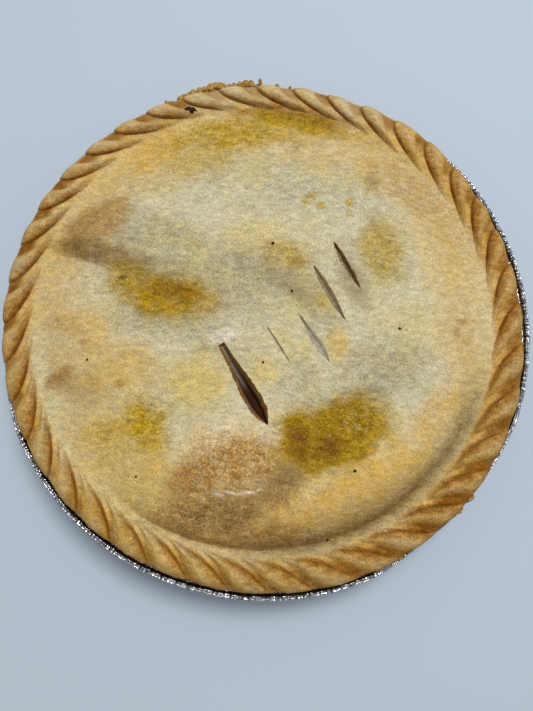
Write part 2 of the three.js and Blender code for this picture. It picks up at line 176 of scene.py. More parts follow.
# Rises and hollows of the lid: middle, half-length, half-breadth, turn of the long axis in degrees, rise
Lump = namedtuple("Lump", "x y long broad turn rise")
LUMPS = [
    Lump(-20, 42, 62, 24, -3, 2.5),  # broad rise over the far half
    Lump(-73, 33, 18, 10, 20, 2.8),  # lump by the left edge
    Lump(2, 26, 26, 11, -12, 1.8),  # rise beside the slits
    Lump(-44, 5, 22, 9, -4, -2.4),  # left gravy hollow
    Lump(31, -49, 23, 12, 24, -4.6),  # deep gravy hollow
    Lump(40, -70, 34, 12, 27, 3.6),  # long bulge at the near right
    Lump(-8, -62, 18, 12, 0, 3.4),  # crusty lump at the near edge
    Lump(-53, -55, 27, 13, -40, 1.4),  # bulge at the near left
    Lump(-82, -14, 15, 12, 0, 2.0),  # bulge at the left
    Lump(-45, -49, 11, 10, 0, -2.0),  # small gravy hollow
    Lump(46, 30, 15, 12, 70, -1.0),  # shallow hollow by the last slit
    Lump(2, 88, 30, 7, 0, -1.2),  # gutter where gravy ran out
]

# Wrinkles in the lid: points of the line, half-width, rise (a crease where it is negative)
Wrinkle = namedtuple("Wrinkle", "points width rise")
WRINKLES = [
    Wrinkle([(-88, -39.5), (-83, -35), (-78, -32)], 1.0, 0.5),  # fold at the left edge
    Wrinkle([(74, -11), (78, -10.6), (82.5, -9.7)], 0.5, -0.3),  # scores at the right edge
    Wrinkle([(74, -25.2), (78, -24.9), (82.5, -23.8)], 0.5, -0.3),
    Wrinkle([(66, -33.1), (70, -33), (73.5, -32.3)], 0.5, -0.25),
    Wrinkle([(-15.4, -75.2), (-9.9, -73.6), (-3, -73.5), (1.3, -73.2)], 0.7, -0.6),  # crack in the lump
]

# Folds in the lid: a sharp crease with a bank on the left of the line. Points, width and rise of the bank
FOLD_BEGIN = 0.06  # share of a fold's length over which it rises
FOLD_FADE = 0.45  # share from which on it dies out
BANK_REACH = 4  # widths over which the bank dies out beside the fold
FOLDS = [
    Wrinkle([(-93, 20.5), (-81, 18.5), (-72, 15.5), (-63, 13.5), (-50, 13), (-36, 11.5), (-24, 7)], 4.5, 3.6),
    Wrinkle([(-92, -36), (-86, -35), (-82, -31.5), (-74, -26)], 2.2, 1.6),  # at the left edge
    Wrinkle([(24, -63), (18, -62), (13, -55), (11.5, -46), (19, -39), (36, -33), (50, -31)], 2.6, 1.0),
    Wrinkle([(2, 31), (-2, 25), (-2.3, 17), (6, 14), (15, 18)], 2.4, 0.9),  # rise in the middle
    Wrinkle([(-4, -46.5), (-16, -48), (-23.5, -55), (-26.5, -64)], 1.6, 0.6),  # round the crusty lump
]

# Steam slits: ends of the cut, width where it is widest, where along it that is, width of the blunt start as
# a share, depth, width of the bottom as a share, how dark the bottom is, how brown the lips are, how ragged
Slit = namedtuple("Slit", "start end width widest blunt depth floor dark brown ragged")
SLITS = [
    Slit((-17.8, -15.1), (3.4, -46.7), 7.4, 0.70, 0.45, 5.5, 0.25, 1.0, 1.0, 0.25),
    Slit((0.0, -5.9), (11.7, -22.3), 0.9, 0.40, 0.0, 0.7, 0.1, 0.1, 0.4, 0.1),
    Slit((12.0, 1.4), (26.6, -19.6), 4.0, 0.66, 0.0, 1.7, 0.05, 0.0, 0.0, 0.2),
    Slit((18.2, 20.4), (32.9, -2.2), 3.2, 0.45, 0.1, 1.7, 0.06, 0.15, 0.7, 0.3),
    Slit((26.2, 31.6), (38.7, 11.9), 3.2, 0.45, 0.1, 2.8, 0.3, 0.4, 1.0, 1.0),
]
LIP_WIDTH = 0.8  # bevel of a slit's edges
BAY_LENGTH = 1.5  # of the bays along a ragged edge
EDGES_APART = 40.0  # how far apart the noise of a slit's two edges is taken
BLADE_TOP = 3  # how far the blade that cuts a slit stands out of the lid

# Patches of colour on the lid, by layer: middle, half-length, half-breadth, turn, softness of the edge as a
# share of its size, strength
Patch = namedtuple("Patch", "x y long broad turn soft strength")
PATCHES = {
    # Grey crust, and painted shade on folds, hollows and faces turned from the light
    "damp_and_shade": [
        Patch(-16, 12, 26, 14, -8, 0.6, 0.75),  # middle, where the crust is greyer
        Patch(-46, 26, 22, 12, -16, 0.6, 0.75),  # beside the lump at the left
        Patch(-68, 21, 22, 5.5, -17, 0.5, 0.9),  # painted shade on the fold's bank
        Patch(-28, 16, 16, 6, -20, 0.5, 0.6),
        Patch(-24, -10, 18, 9, -45, 0.6, 0.6),
        Patch(18, 8, 9, 22, 32, 0.6, 0.6),  # along the slits
        Patch(-45, -9, 24, 5, -4, 0.6, 0.5),  # on the near side of the left stain
        Patch(-43, 4, 20, 11, -6, 0.6, 1.0),  # beneath that stain
        Patch(-74, 33, 18, 11, 24, 0.5, 0.6),  # lump by the left edge
        # painted shade under the lump's tip
        Patch(-82, 22.5, 12, 4, -12, 0.5, 1.2),
        Patch(48, -20, 18, 12, 20, 0.6, 0.7),
        Patch(-22, -82, 28, 10, 8, 0.6, 0.9),  # painted shade on the near face
        Patch(12, -64, 7, 11, -20, 0.7, 0.9),  # painted shade in the hollow between lump and bulge
        Patch(14, 62, 48, 20, 0, 0.7, 0.4),  # far side
        Patch(-32, 62, 34, 9, 8, 0.7, 0.5),
        Patch(16, -28, 8, 10, 0, 0.7, 0.5),
        Patch(9.5, 80, 5, 4, 20, 0.5, 0.9),
        Patch(47, 30, 10, 16, 10, 0.5, 0.6),  # right
        Patch(43, 62.5, 4, 5, 20, 0.5, 0.7),
    ],
    "buttery": [
        Patch(-27, -31, 14, 14, 20, 0.6, 0.85),  # beside the first slit
        Patch(1, -25, 6, 8, -30, 0.6, 0.8),
        Patch(8, -14, 5, 8, 30, 0.6, 0.6),
        Patch(-8, 32, 15, 7, 12, 0.6, 0.6),  # by the rise in the middle
        Patch(24, 5, 4, 7, 30, 0.6, 0.6),
        Patch(29, -12, 5, 8, 10, 0.6, 0.8),  # by the third slit
        Patch(17, -15, 3, 5, 20, 0.6, 0.7),
        Patch(60, 0, 16, 9, 0, 0.7, 0.5),  # right
        Patch(77, 24, 8, 16, 0, 0.7, 0.4),
        Patch(-44, 60, 24, 12, 20, 0.7, 0.5),  # far left
        Patch(-62, -34, 16, 10, -10, 0.6, 0.6),  # left
        Patch(-52, -66, 30, 18, -40, 0.6, 0.8),  # near left
    ],
    "golden": [
        Patch(45, -72, 44, 17, 27, 0.5, 0.9),  # near right bulge
        Patch(-58, -58, 30, 16, -40, 0.7, 0.5),  # near left bulge
        Patch(-70, -34, 9, 6, -30, 0.7, 0.7),
        Patch(-38, -66, 10, 6, -20, 0.7, 0.6),
        Patch(-76, -12, 20, 8, -18, 0.7, 0.7),  # left
        Patch(-62, -24, 22, 11, -20, 0.6, 0.6),
        Patch(-57, 74, 26, 13, 28, 0.7, 0.8),  # far left
        Patch(29, -13, 4.5, 6, 0, 0.6, 0.35),  # by the third slit
        Patch(84, 20, 14, 44, 0, 0.7, 0.5),  # right
        Patch(74, -44, 12, 26, -30, 0.7, 0.75),
        Patch(77.4, 38, 2, 2, 0, 0.6, 0.8),
        Patch(60, 62, 34, 12, -45, 0.7, 0.3),  # far right
        Patch(10, -80, 30, 12, 8, 0.6, 0.85),  # near face
        Patch(-24, -78, 24, 12, 8, 0.6, 0.6),
        Patch(-10, -61, 20, 14, 6, 0.5, 0.8),
    ],
    # Browned crust, with painted shade on shaded sides, the dome's near face and the fold under the left lump
    "toasted_and_shade": [
        Patch(-7, -62, 17, 11, 6, 0.45, 0.75),  # crusty lump
        Patch(8, -68, 7, 10, -25, 0.7, 0.55),  # painted shade on its shaded side
        Patch(-18, -83, 21, 10, 8, 0.6, 0.85),  # near face of the dome, browned and partly painted shade
        Patch(6, -90, 20, 4.5, 8, 0.6, 0.75),
        Patch(-23, -69, 11, 8, 20, 0.5, 0.8),
        Patch(36, -87, 34, 5, 25, 0.6, 0.45),
        Patch(-75, 33, 18, 11, 28, 0.35, 0.5),  # lump by the left edge
        # painted shade under the lump's tip and along the fold's bank
        Patch(-84, 24.5, 9, 4.5, -10, 0.5, 0.65),
        Patch(-80, 20.5, 13, 2.4, -12, 0.5, 0.5),
        Patch(-70, 22, 18, 5, -16, 0.6, 0.45),
        Patch(-82, -11, 9, 3, -25, 0.7, 0.25),  # left edge
        Patch(-84, -33, 7, 3, 40, 0.6, 0.6),
        Patch(82.6, 2.2, 2.4, 1.6, 0, 0.6, 0.6),  # right edge
        Patch(80.4, -3.1, 1.8, 1.4, 0, 0.6, 0.5),
        Patch(84.6, -6.1, 2, 1.4, 0, 0.6, 0.5),
        Patch(29.8, -88, 2.4, 1.6, 60, 0.5, 1.0),  # near foot
        Patch(42.7, 62.4, 3, 2, 0, 0.6, 0.4),
        Patch(-73.5, -17.6, 2, 1.5, 0, 0.6, 0.5),
        Patch(-57.5, -34, 2, 1.4, 0, 0.6, 0.5),
        Patch(64, 60, 34, 10, -45, 0.8, 0.25),  # far right
        Patch(2, 95, 30, 4.5, -4, 0.6, 0.85),  # leak at the far side
    ],
    # Painted shade: dull olive-grey laid where folds, hollows and faces turned from the light fall into shade
    "painted_shade": [
        Patch(-78, 22.5, 15, 4, -12, 0.6, 0.6),  # fold at the left
        Patch(-60, 18, 12, 4, -14, 0.7, 0.35),
        Patch(13, -64.5, 18, 6.5, 52, 0.7, 0.65),  # between lump and bulge
        Patch(-12, -83, 18, 6, 6, 0.7, 0.6),  # near face
        Patch(3, -76, 6, 5, 0, 0.7, 0.5),
        Patch(12, 10, 14, 4.5, -34, 0.7, 0.45),  # along the slits
        Patch(34.5, 17, 13, 5, -68, 0.7, 0.55),
        Patch(-75, -36, 13, 6, -8, 0.7, 0.3),  # left edge
        Patch(43, 62, 4, 5, 20, 0.6, 0.3),
    ],
    "gravy": [
        Patch(-42, 4, 18.5, 10, -8, 0.6, 0.95),  # left
        Patch(-57, 8, 11, 8, -20, 0.6, 0.8),
        Patch(31, -48.5, 21, 12, 27, 0.55, 1.5),  # deep hollow
        Patch(21, -55, 12, 8, -10, 0.55, 1.4),
        Patch(15.5, -51, 8, 11, 8, 0.6, 1.4),
        Patch(47, 30, 9, 15, 10, 0.5, 0.6),  # right
        Patch(-45.5, -49, 10, 10, 0, 0.55, 0.9),  # near left
        Patch(-56, -54, 10, 7, 0, 0.7, 0.45),
        Patch(-18, 84, 32, 9, 12, 0.5, 0.8),  # far edge
        Patch(-28, 72, 18, 8, 30, 0.6, 0.5),
        Patch(10, 92, 22, 5.5, -10, 0.6, 0.95),  # leak at the foot of the crimp
        Patch(6, 24, 12, 6, 0, 0.7, 0.6),  # rise in the middle
        Patch(22, 6, 5, 3, 30, 0.6, 0.35),
        Patch(15, 51, 4, 2, 40, 0.5, 0.7),  # drips
        Patch(20, 48, 2, 1.6, 30, 0.4, 0.9),
        Patch(32.3, 50.8, 1.6, 2, 0, 0.4, 0.8),
        Patch(32.4, 45.6, 1.2, 1.4, 0, 0.5, 0.5),
    ],
    "dark_gravy": [
        Patch(-40, 7, 12, 4.5, -12, 0.7, 0.65),  # left
        Patch(-43, 4, 20, 10, -8, 0.6, 0.25),
        Patch(-38, 2.5, 5, 2.5, 0, 0.6, 0.4),
        Patch(-61.5, 11, 2, 1.4, 0, 0.5, 0.8),
        Patch(30, -49, 19, 11, 27, 0.6, 0.25),  # deep hollow
        Patch(27.5, -53.5, 8, 5, 30, 0.8, 0.85),
        Patch(16, -53, 6, 9, 8, 0.7, 0.8),
        Patch(20, -56, 7, 5, 30, 0.7, 0.55),
        Patch(33, -36.5, 17, 3, 22, 0.7, 0.3),
        Patch(43, -40, 5, 3, 30, 0.8, 0.3),
        Patch(40, -46, 6, 3, 40, 0.7, 0.45),
        Patch(0, 24, 3, 4, 0, 0.7, 0.15),  # rise in the middle
        Patch(11, 21, 4, 2, 0, 0.6, 0.3),
        Patch(10, 95, 20, 3, -8, 0.6, 0.45),  # leak at the foot of the crimp
        Patch(21, 92.5, 7, 3, -20, 0.6, 0.5),
    ],
    "flour": [
        Patch(-17, -11.4, 5, 2.4, 20, 0.8, 0.6),  # above the first slit
        Patch(-14, -74.6, 2.4, 0.5, -20, 0.6, 0.8),  # crack in the crusty lump
        Patch(-10, -73.4, 2.2, 0.35, 0, 0.6, 1.0),
        Patch(-6.3, -73.9, 1.6, 0.3, 10, 0.6, 0.7),
        Patch(-2.4, -73, 2.4, 0.45, 10, 0.6, 0.9),
        Patch(1.4, -71.8, 1.4, 0.3, 40, 0.6, 0.6),
        Patch(4, -50, 5, 5, 20, 0.6, 0.3),  # beside the deep hollow
        Patch(-15, -52, 10, 4, 30, 0.8, 0.2),
    ],
    # Cracked skin, and painted glints on the wet film over the deep gravy
    "crackle_and_glints": [
        Patch(-10, -61, 18, 13, 6, 0.4, 1.0),  # crusty lump
        Patch(-22, -80, 22, 10, 10, 0.6, 0.5),  # near face
        Patch(10, -74, 12, 6, 20, 0.6, 0.4),
        Patch(41, -41.5, 9, 5, 27, 0.6, 0.45),  # painted glints on the wet film over the deep gravy
    ],
    "wet": [
        Patch(31, -48, 20, 11, 27, 0.4, 1.0),  # deep hollow
        Patch(22, -55, 11, 8, -10, 0.4, 0.9),
        Patch(14, 91.5, 15, 5.5, -16, 0.4, 0.7),  # leak at the foot of the crimp
    ],
}

# The crimp round the rim: angle in degrees; width of the valley beside a rib, left and right side of the
# rib's inner tip, as shares of the spacing; how far the ribs bow; how far out they start, as a share of the
# crimp's width; how brown the rib's right flank is, partly as painted shade; how much painted shade its left
# flank takes; how brown the valley is; how far the crust's edge stands out
CrimpSide = namedtuple("CrimpSide", "angle valley tip_left tip_right bow start flank back brown edge")
CRIMP = [
    CrimpSide(0, 0.18, 0.45, 0.90, 0.6, 0.00, 0.80, 0.30, 0.60, 0.2),
    CrimpSide(35, 0.18, 0.50, 1.00, 1.0, 0.00, 0.80, 0.10, 0.60, 0.5),
    CrimpSide(54, 0.20, 0.52, 1.00, 1.0, 0.00, 0.60, 0.00, 0.60, 2.2),
    CrimpSide(72, 0.24, 0.46, 1.00, 1.0, 0.04, 0.50, 0.00, 0.65, 0.4),
    CrimpSide(105, 0.26, 0.38, 1.00, 1.0, 0.07, 0.40, 0.00, 0.65, 0.6),
    CrimpSide(150, 0.28, 0.44, 1.00, 1.0, 0.05, 0.50, 0.00, 1.00, 0.6),
    CrimpSide(190, 0.14, 0.50, 0.96, 1.0, 0.00, 0.65, 0.00, 0.80, -0.4),
    CrimpSide(225, 0.05, 0.45, 0.90, 0.8, 0.00, 0.60, 0.05, 0.45, -0.7),
    CrimpSide(262, 0.06, 0.40, 0.76, 0.5, 0.01, 0.50, 0.30, 0.50, -0.2),
    CrimpSide(290, 0.16, 0.26, 0.62, 0.1, 0.09, 0.65, 0.50, 0.80, 1.4),
    CrimpSide(322, 0.20, 0.24, 0.55, 0.0, 0.13, 0.75, 0.70, 1.00, 1.8),
    CrimpSide(345, 0.20, 0.32, 0.70, 0.3, 0.04, 0.75, 0.50, 0.80, 1.4),
]
RIB_CREST = 0.52  # where in its width a rib is highest
RIB_VARIATION = 0.14  # how much the ribs' heights differ
RIB_TAPER = 0.6  # share of its height that a rib loses towards the crust's edge
CURL_TAPER = 0.2  # further share that it loses where the tips curl
CREASE_DEPTH = 0.4
CREASE_WIDTH = 0.04  # as a share of the spacing
MIDDLE_OUT = 0.7  # how far the middle of the crimp is pushed out
CRIMP_SWELL = 2.4  # four times the rise of its middle above its two edges
EDGE_DROP = 2.2  # how far the crust's edge turns down

# Marks that each point of the pie carries, and those of points that aren't on the crimp
CRIMP_MARKS = ("crimp_share", "crimp_phase", "crimp_body", "crimp_across")
UNDERSIDE = (1.1, 0, 0, 0)
PAST_EDGE = (0.1, 0, 0, 0)  # added to those of the crust's edge
ON_LID = (-1, 0, 0, 0)

# Waves that make the ribs' spacing uneven: waves round the rim, height in rib spacings, start in degrees
CREASE_WAVES = [(1, 0.056, -41), (2, 0.072, -50), (3, 0.049, 12), (6, 0.039, 45)]
# Section of the crust's edge: share of the way down to its underside, how far it pulls in
EDGE_SECTION = [(1.0, 1.6), (0.85, 0.5), (0.6, -0.2), (0.3, -0.25)]
SIDE_FOOT = 4.5  # height at which the pie's side starts to rise
SHOULDER_OUT = 1.2  # bend from the side to the crust's underside
SHOULDER_DOWN = 2.2

# Charred spots: middle, radius. How high they stand is a share of the radius
BLISTER_RISE = 0.9
SPECK_RISE = 0.35
SPOT_ROUGHNESS = 0.2
ABOVE_PIE = 100  # from where the surface under a spot is looked for
SPECKS = [
    (0.7, 28.4, 0.8), (9.8, 9.3, 0.6), (-0.2, -21.6, 0.55), (55, -3.8, 0.65), (38.1, -62.4, 0.7),
    (-47, -70, 0.5), (-72, -24.8, 0.5), (29.5, -89.3, 0.6),
]
BLISTER = [
    (-43.1, 94.4, 1.0), (-41.7, 95.4, 1.1), (-39.9, 95.2, 1.0), (-38.9, 94.0, 1.1), (-40.1, 92.8, 1.2),
    (-42.1, 93.0, 0.9),
]

# Crumbs of the bottom crust behind the broken edge: angle in degrees, radius, half-sizes along, out and up
Crumb = namedtuple("Crumb", "angle radius along out up")
CRUMBS = [
    Crumb(87.3, 112.6, 0.8, 1.1, 1.2),
    Crumb(90.4, 112.8, 0.9, 1.4, 1.4),
    Crumb(94.4, 114.8, 0.9, 2.0, 1.6),
    Crumb(96.6, 113.9, 1.6, 1.9, 1.5),
    Crumb(97.9, 114.2, 1.7, 1.9, 1.7),
    Crumb(99.2, 113.9, 1.7, 1.8, 1.5),
    Crumb(100.6, 113.5, 1.6, 1.6, 1.4),
    Crumb(102.0, 113.5, 1.6, 1.4, 1.3),
    Crumb(103.6, 114.3, 1.7, 1.9, 1.5),
    Crumb(104.9, 114.7, 1.8, 2.0, 1.7),
    Crumb(106.3, 114.6, 1.8, 2.0, 1.6),
    Crumb(107.6, 114.1, 1.6, 1.7, 1.4),
    Crumb(109.0, 113.9, 1.8, 1.7, 1.5),
    Crumb(110.6, 113.7, 1.7, 1.6, 1.4),
    Crumb(112.2, 113.3, 1.6, 1.4, 1.3),
    Crumb(114.0, 113.0, 1.5, 1.3, 1.2),
    Crumb(117.0, 112.6, 1.6, 1.1, 1.1),
    Crumb(302.5, 113.0, 1.2, 0.7, 0.8),
    Crumb(318.2, 113.3, 1.8, 1.0, 1.0),
    Crumb(321.6, 113.5, 1.9, 1.1, 1.0),
]
SMALL_CRUMBS = 40
SMALL_CRUMB_ANGLES = (95, 118)
SMALL_CRUMB_RADII = (112.0, 114.0)
SMALL_CRUMB_SIZES = (0.5, 1.1)
CRUMB_LIFT = 0.7  # height of a crumb's middle above the ledge, as a share of its half-size
CRUMB_ROUGHNESS = 0.28

# How far the rolled edge of the foil is bent in under the crust: angle in degrees, distance
RIM_BEND = [
    (0, 0), (36, 0), (60, 1.4), (120, 1.8), (195, 1.8), (208, 0), (295, 0), (306, 2.2), (328, 2.2),
    (340, 0.3),
]
# How the flange sags between wall and rolled edge: share of the way out, distance
FLANGE_SAG = [(0.1, 0), (0.35, 0.8), (0.6, 1.5), (0.85, 0.7)]
WALL_SPAN = (0.1, 0.96)  # first and last ring up the wall, as shares of its height
ROLL_SPAN = (225, 505)  # angles in degrees through which the edge is rolled
ROLL_FLAT = (math.radians(440), 0.3)  # where round the roll it is pressed flat, half-width
ROLL_FLATNESS = 0.3  # share of its radius that is lost there
# Creases of the foil: length of a straight run, seed
FLUTE_CREASES = (4, 51)  # of the wall
RIM_PLEATS = (1.7, 52)  # of the rolled edge, up and down
RIM_WANDER = (9, 53)  # of the rolled edge, in and out
ROLL_CREASE = 1.3  # length of a straight run in each ring of the roll

# Light from all round: sine of the height above the floor, brightness. It is dim straight overhead.
SKY = [(0, 0.5), (0.1, 0.45), (0.2, 0.1), (0.35, 0.15), (0.5, 1.0), (0.9, 1.1), (0.97, 0.5)]


def linear(code):
    """Linear colour of an sRGB hex value"""
    parts = [int(code[i:i + 2], 16) / 255 for i in (0, 2, 4)]
    return [p / 12.92 if p <= 0.04045 else ((p + 0.055) / 1.055) ** 2.4 for p in parts]


def number(name, value, description, **settings):
    """A number property"""
    return bpy.props.FloatProperty(name=name, description=description, default=value, **settings)


def length(name, size, description):
    """A length property, its default given in millimetres"""
    return number(name, size * MM, description, unit="LENGTH", precision=4)


def degrees(name, size, description):
    """An angle property, its default given in degrees"""
    return number(name, math.radians(size), description, subtype="ANGLE")


def colour(name, code, description):
    """A colour property, its default given as an sRGB hex value"""
    return bpy.props.FloatVectorProperty(
        name=name, description=description, default=linear(code), subtype="COLOR", min=0, max=1)


class PieSizes(bpy.types.PropertyGroup):
    """Sizes of the baked pie"""
    shift_x: length("Shift right", -1.4, "How far the pastry lies right of the plate's middle")
    shift_y: length("Shift away", 0.3, "How far the pastry lies beyond the plate's middle")
    gutter_height: length("Gutter height", 35, "Height of the lid between the crimp and the dome")
    dome_foot: length("Dome foot", 95.5, "Radius where the dome starts")
    dome_run: length("Dome run", 40, "How far in the dome's shoulder reaches")
    steep_run: length("Steep run", 24, "How far in it reaches at the near side, where the dome stands steep")
    low_run: length("Low run", 60, "How far in it reaches at the near left, where the dome rises gently")
    dome_rise: length("Dome rise", 6.5, "Height of the dome above the gutter")
    lump_fade: length("Lump fade", 14, "Distance over which the lumps die out before the dome's foot")
    crimp_foot: length("Crimp foot", 97.5, "Radius of the ribs' inner tips")
    crimp_width: length("Crimp width", 13.3, "Inner tips to the crust's edge")
    ribs: bpy.props.IntProperty(name="Ribs", description="Ribs of the rope crimp", default=40, min=8)
    first_tip: degrees("First tip", 2.45, "Angle of one rib's inner tip")
    rib_sweep: number("Rib sweep", 1.37, "Rib spacings that a rib turns through on its way out")
    rib_height: length("Rib height", 2.8, "Crest of a rib above the creases beside it")
    rib_bulge: length("Rib bulge", 0.25, "How far a rib's outer end stands out of the round outline")
    ledge: length("Ledge", 30.4, "Underside of the crust, on the plate's rim")
    floor: length("Floor", 0.6, "Underside of the pie, on the foil")
    base_radius: length("Base radius", 87.6, "Flat underside of the pie")
    wall_foot: length("Wall foot", 90.5, "Radius of the pie's side where it starts to rise")
    wall_top: length("Wall top", 103.4, "Radius of the pie's side under the flange")


class PieColours(bpy.types.PropertyGroup):
    """Colours of baked pastry and gravy"""
    pale: colour("Pale", "c9c2a3", "Floury crust that the oven hardly coloured")
    # This colour also serves as painted shade on folds, hollows and faces turned from the light
    damp_and_shade: colour("Damp", "9f9878", "Pale crust that steam wet from below")
    buttery: colour("Buttery", "cbb570", "Crust that fat has yellowed")
    golden: colour("Golden", "cda654", "Crust that has taken colour")
    # This colour also serves as painted shade on shaded faces and on the ribs' flanks
    toasted_and_shade: colour("Toasted", "97692a", "Well browned crust")
    browned: colour("Browned", "85540c", "Creases where fat browned most")
    # This colour is painted shade: it darkens folds, hollows and faces turned from the light
    painted_shade: colour("Soggy", "7a6238", "Crust that stayed wet and dull in the folds")
    gravy: colour("Gravy", "ad8c10", "Gravy that soaked through")
    dark_gravy: colour("Dark gravy", "754b03", "Gravy that stood and cooked down")
    flour: colour("Flour", "e2dccb", "Loose flour in cracks")
    # This colour also draws painted glints along the wet film on the deep gravy
    strands: colour("Strands", "dcc390", "Skin over crusty lump and deep gravy, broken into pale strands")
    cut: colour("Cut", "ada48c", "Inside of the crust at a cut")
    lips: colour("Lips", "8e5f22", "Cut edges that browned")
    filling: colour("Filling", "381b02", "Meat and gravy in the depth of a slit")
    char: colour("Char", "2c1610", "A burnt spot")


class FoilSizes(bpy.types.PropertyGroup):
    """Sizes and colour of the foil plate"""
    rim_radius: length("Rim radius", 115, "Over the rolled edge")
    height: length("Height", 30, "Floor to the top of the rolled edge")
    base_radius: length("Base radius", 88, "The flat that it stands on")
    flange_radius: length("Flange radius", 105, "Where the wall turns out into the flange")
    flange_fall: length("Flange fall", 0.8, "From the top of the roll down to the flange")
    corner_radius: length("Corner radius", 4, "Bend from base to wall")
    roll_radius: length("Roll radius", 1.15, "Half the thickness of the rolled edge")
    thickness: length("Thickness", 0.2, "Foil thickness")
    flute_depth: length("Flute depth", 0.9, "Crest to trough of the pleats in the wall")
    flutes: bpy.props.IntProperty(name="Flutes", description="Pleats in the wall", default=60, min=12)
    crumple: length("Crumple", 0.24, "How far creases push the rolled edge about")
    metal: colour("Foil", "dfe1e4", "Bright aluminium foil")
    crease: colour("Crease", "66686c", "Foil in the shade of creases too fine to model")


class StudioSettings(bpy.types.PropertyGroup):
    """Camera, light and floor"""
    camera_place: bpy.props.FloatVectorProperty(
        name="Camera place", description="Where the camera stands", default=(0.0010, -0.0613, 0.2543),
        subtype="TRANSLATION")
    camera_tilt: degrees("Camera tilt", 11.32, "Lean of the view away from straight down")
    camera_roll: degrees("Camera roll", 3.71, "Turn of the picture")
    lens: number("Lens", 27.04, "Focal length on a 36 mm frame, in millimetres")
    lamp_place: bpy.props.FloatVectorProperty(
        name="Lamp place", description="Where the soft main light hangs", default=(0.17, 0.32, 1.1),
        subtype="TRANSLATION")
    lamp_width: length("Lamp width", 350, "Side of the soft main light")
    lamp_power: number("Lamp power", 8.4, "Power of the main light", unit="POWER")
    fill: number("Fill", 0.46, "Strength of light from all round")
    floor_colour: colour("Floor", "bcc9d5", "Pale floor")


def smoothstep(low, high, value):
    """A smooth rise from 0 at a low value to 1 at a high one"""
    share = np.clip((value - low) / (high - low), 0, 1)
    return share * share * (3 - 2 * share)


def hump(value, middle, width):
    """A smooth hump, 1 at its middle"""
    return np.exp(-((value - middle) / width) ** 2)


def toward(turn, side, low, high):
    """A smooth rise from 0 to 1 as angles turn towards a side, between two values of the cosine"""
    return smoothstep(low, high, np.cos(turn - side))


def soft_noise(x, y, cell, seed):
    """Smooth seeded noise, about -1 to 1, with bumps about one cell across"""
    turn = np.random.default_rng(seed).uniform(0, 2 * np.pi, (NOISE_CELLS, NOISE_CELLS))
    slope_x, slope_y = np.cos(turn), np.sin(turn)
    u, v = x / cell, y / cell
    column, row = np.floor(u).astype(int), np.floor(v).astype(int)
    u, v = u - column, v - row

    def corner(right, up):
        a, b = (column + right) % NOISE_CELLS, (row + up) % NOISE_CELLS
        return slope_x[a, b] * (u - right) + slope_y[a, b] * (v - up)

    across, along = smoothstep(0, 1, u), smoothstep(0, 1, v)
    near = corner(0, 0) * (1 - across) + corner(1, 0) * across
    far = corner(0, 1) * (1 - across) + corner(1, 1) * across
    return NOISE_GAIN * (near * (1 - along) + far * along)


def uneven(x, y, bumps, seed=0):
    """Sum of noises of several sizes"""
    return sum(height * soft_noise(x, y, cell, seed + own) for height, cell, own in bumps)


def oval_distance(oval, x, y):
    """Distance from an oval's middle, 1 on its outline"""
    turn = math.radians(oval.turn)
    along = (x - oval.x) * math.cos(turn) + (y - oval.y) * math.sin(turn)
    across = (y - oval.y) * math.cos(turn) - (x - oval.x) * math.sin(turn)
    return np.hypot(along / oval.long, across / oval.broad)


def line_distance(points, x, y):
    """Distance from a line of straight stretches, less than 0 on its right, and the nearest place's share
    of the line's length"""
    points = np.array(points, float)
    steps = np.diff(points, axis=0)
    lengths = np.hypot(*steps.T)
    nearest = np.full(np.shape(x), np.inf)
    share = np.zeros(np.shape(x))
    for start, step, run, before in zip(points, steps, lengths, np.cumsum(lengths) - lengths):
        along = np.clip(((x - start[0]) * step[0] + (y - start[1]) * step[1]) / run ** 2, 0, 1)
        off_x, off_y = x - start[0] - along * step[0], y - start[1] - along * step[1]
        away = np.copysign(np.hypot(off_x, off_y), step[0] * off_y - step[1] * off_x)
        closer = np.abs(away) < np.abs(nearest)
        share = np.where(closer, (before + along * run) / lengths.sum(), share)
        nearest = np.where(closer, away, nearest)
    return nearest, share


def in_millimetres(group):
    """The values of a property group, with its lengths in millimetres"""
    values = {}
    for prop in group.bl_rna.properties:
        if prop.identifier not in {"rna_type", "name"}:
            value = getattr(group, prop.identifier)
            values[prop.identifier] = value / MM if getattr(prop, "unit", "") == "LENGTH" else value
    return SimpleNamespace(**values)


# Pie: form

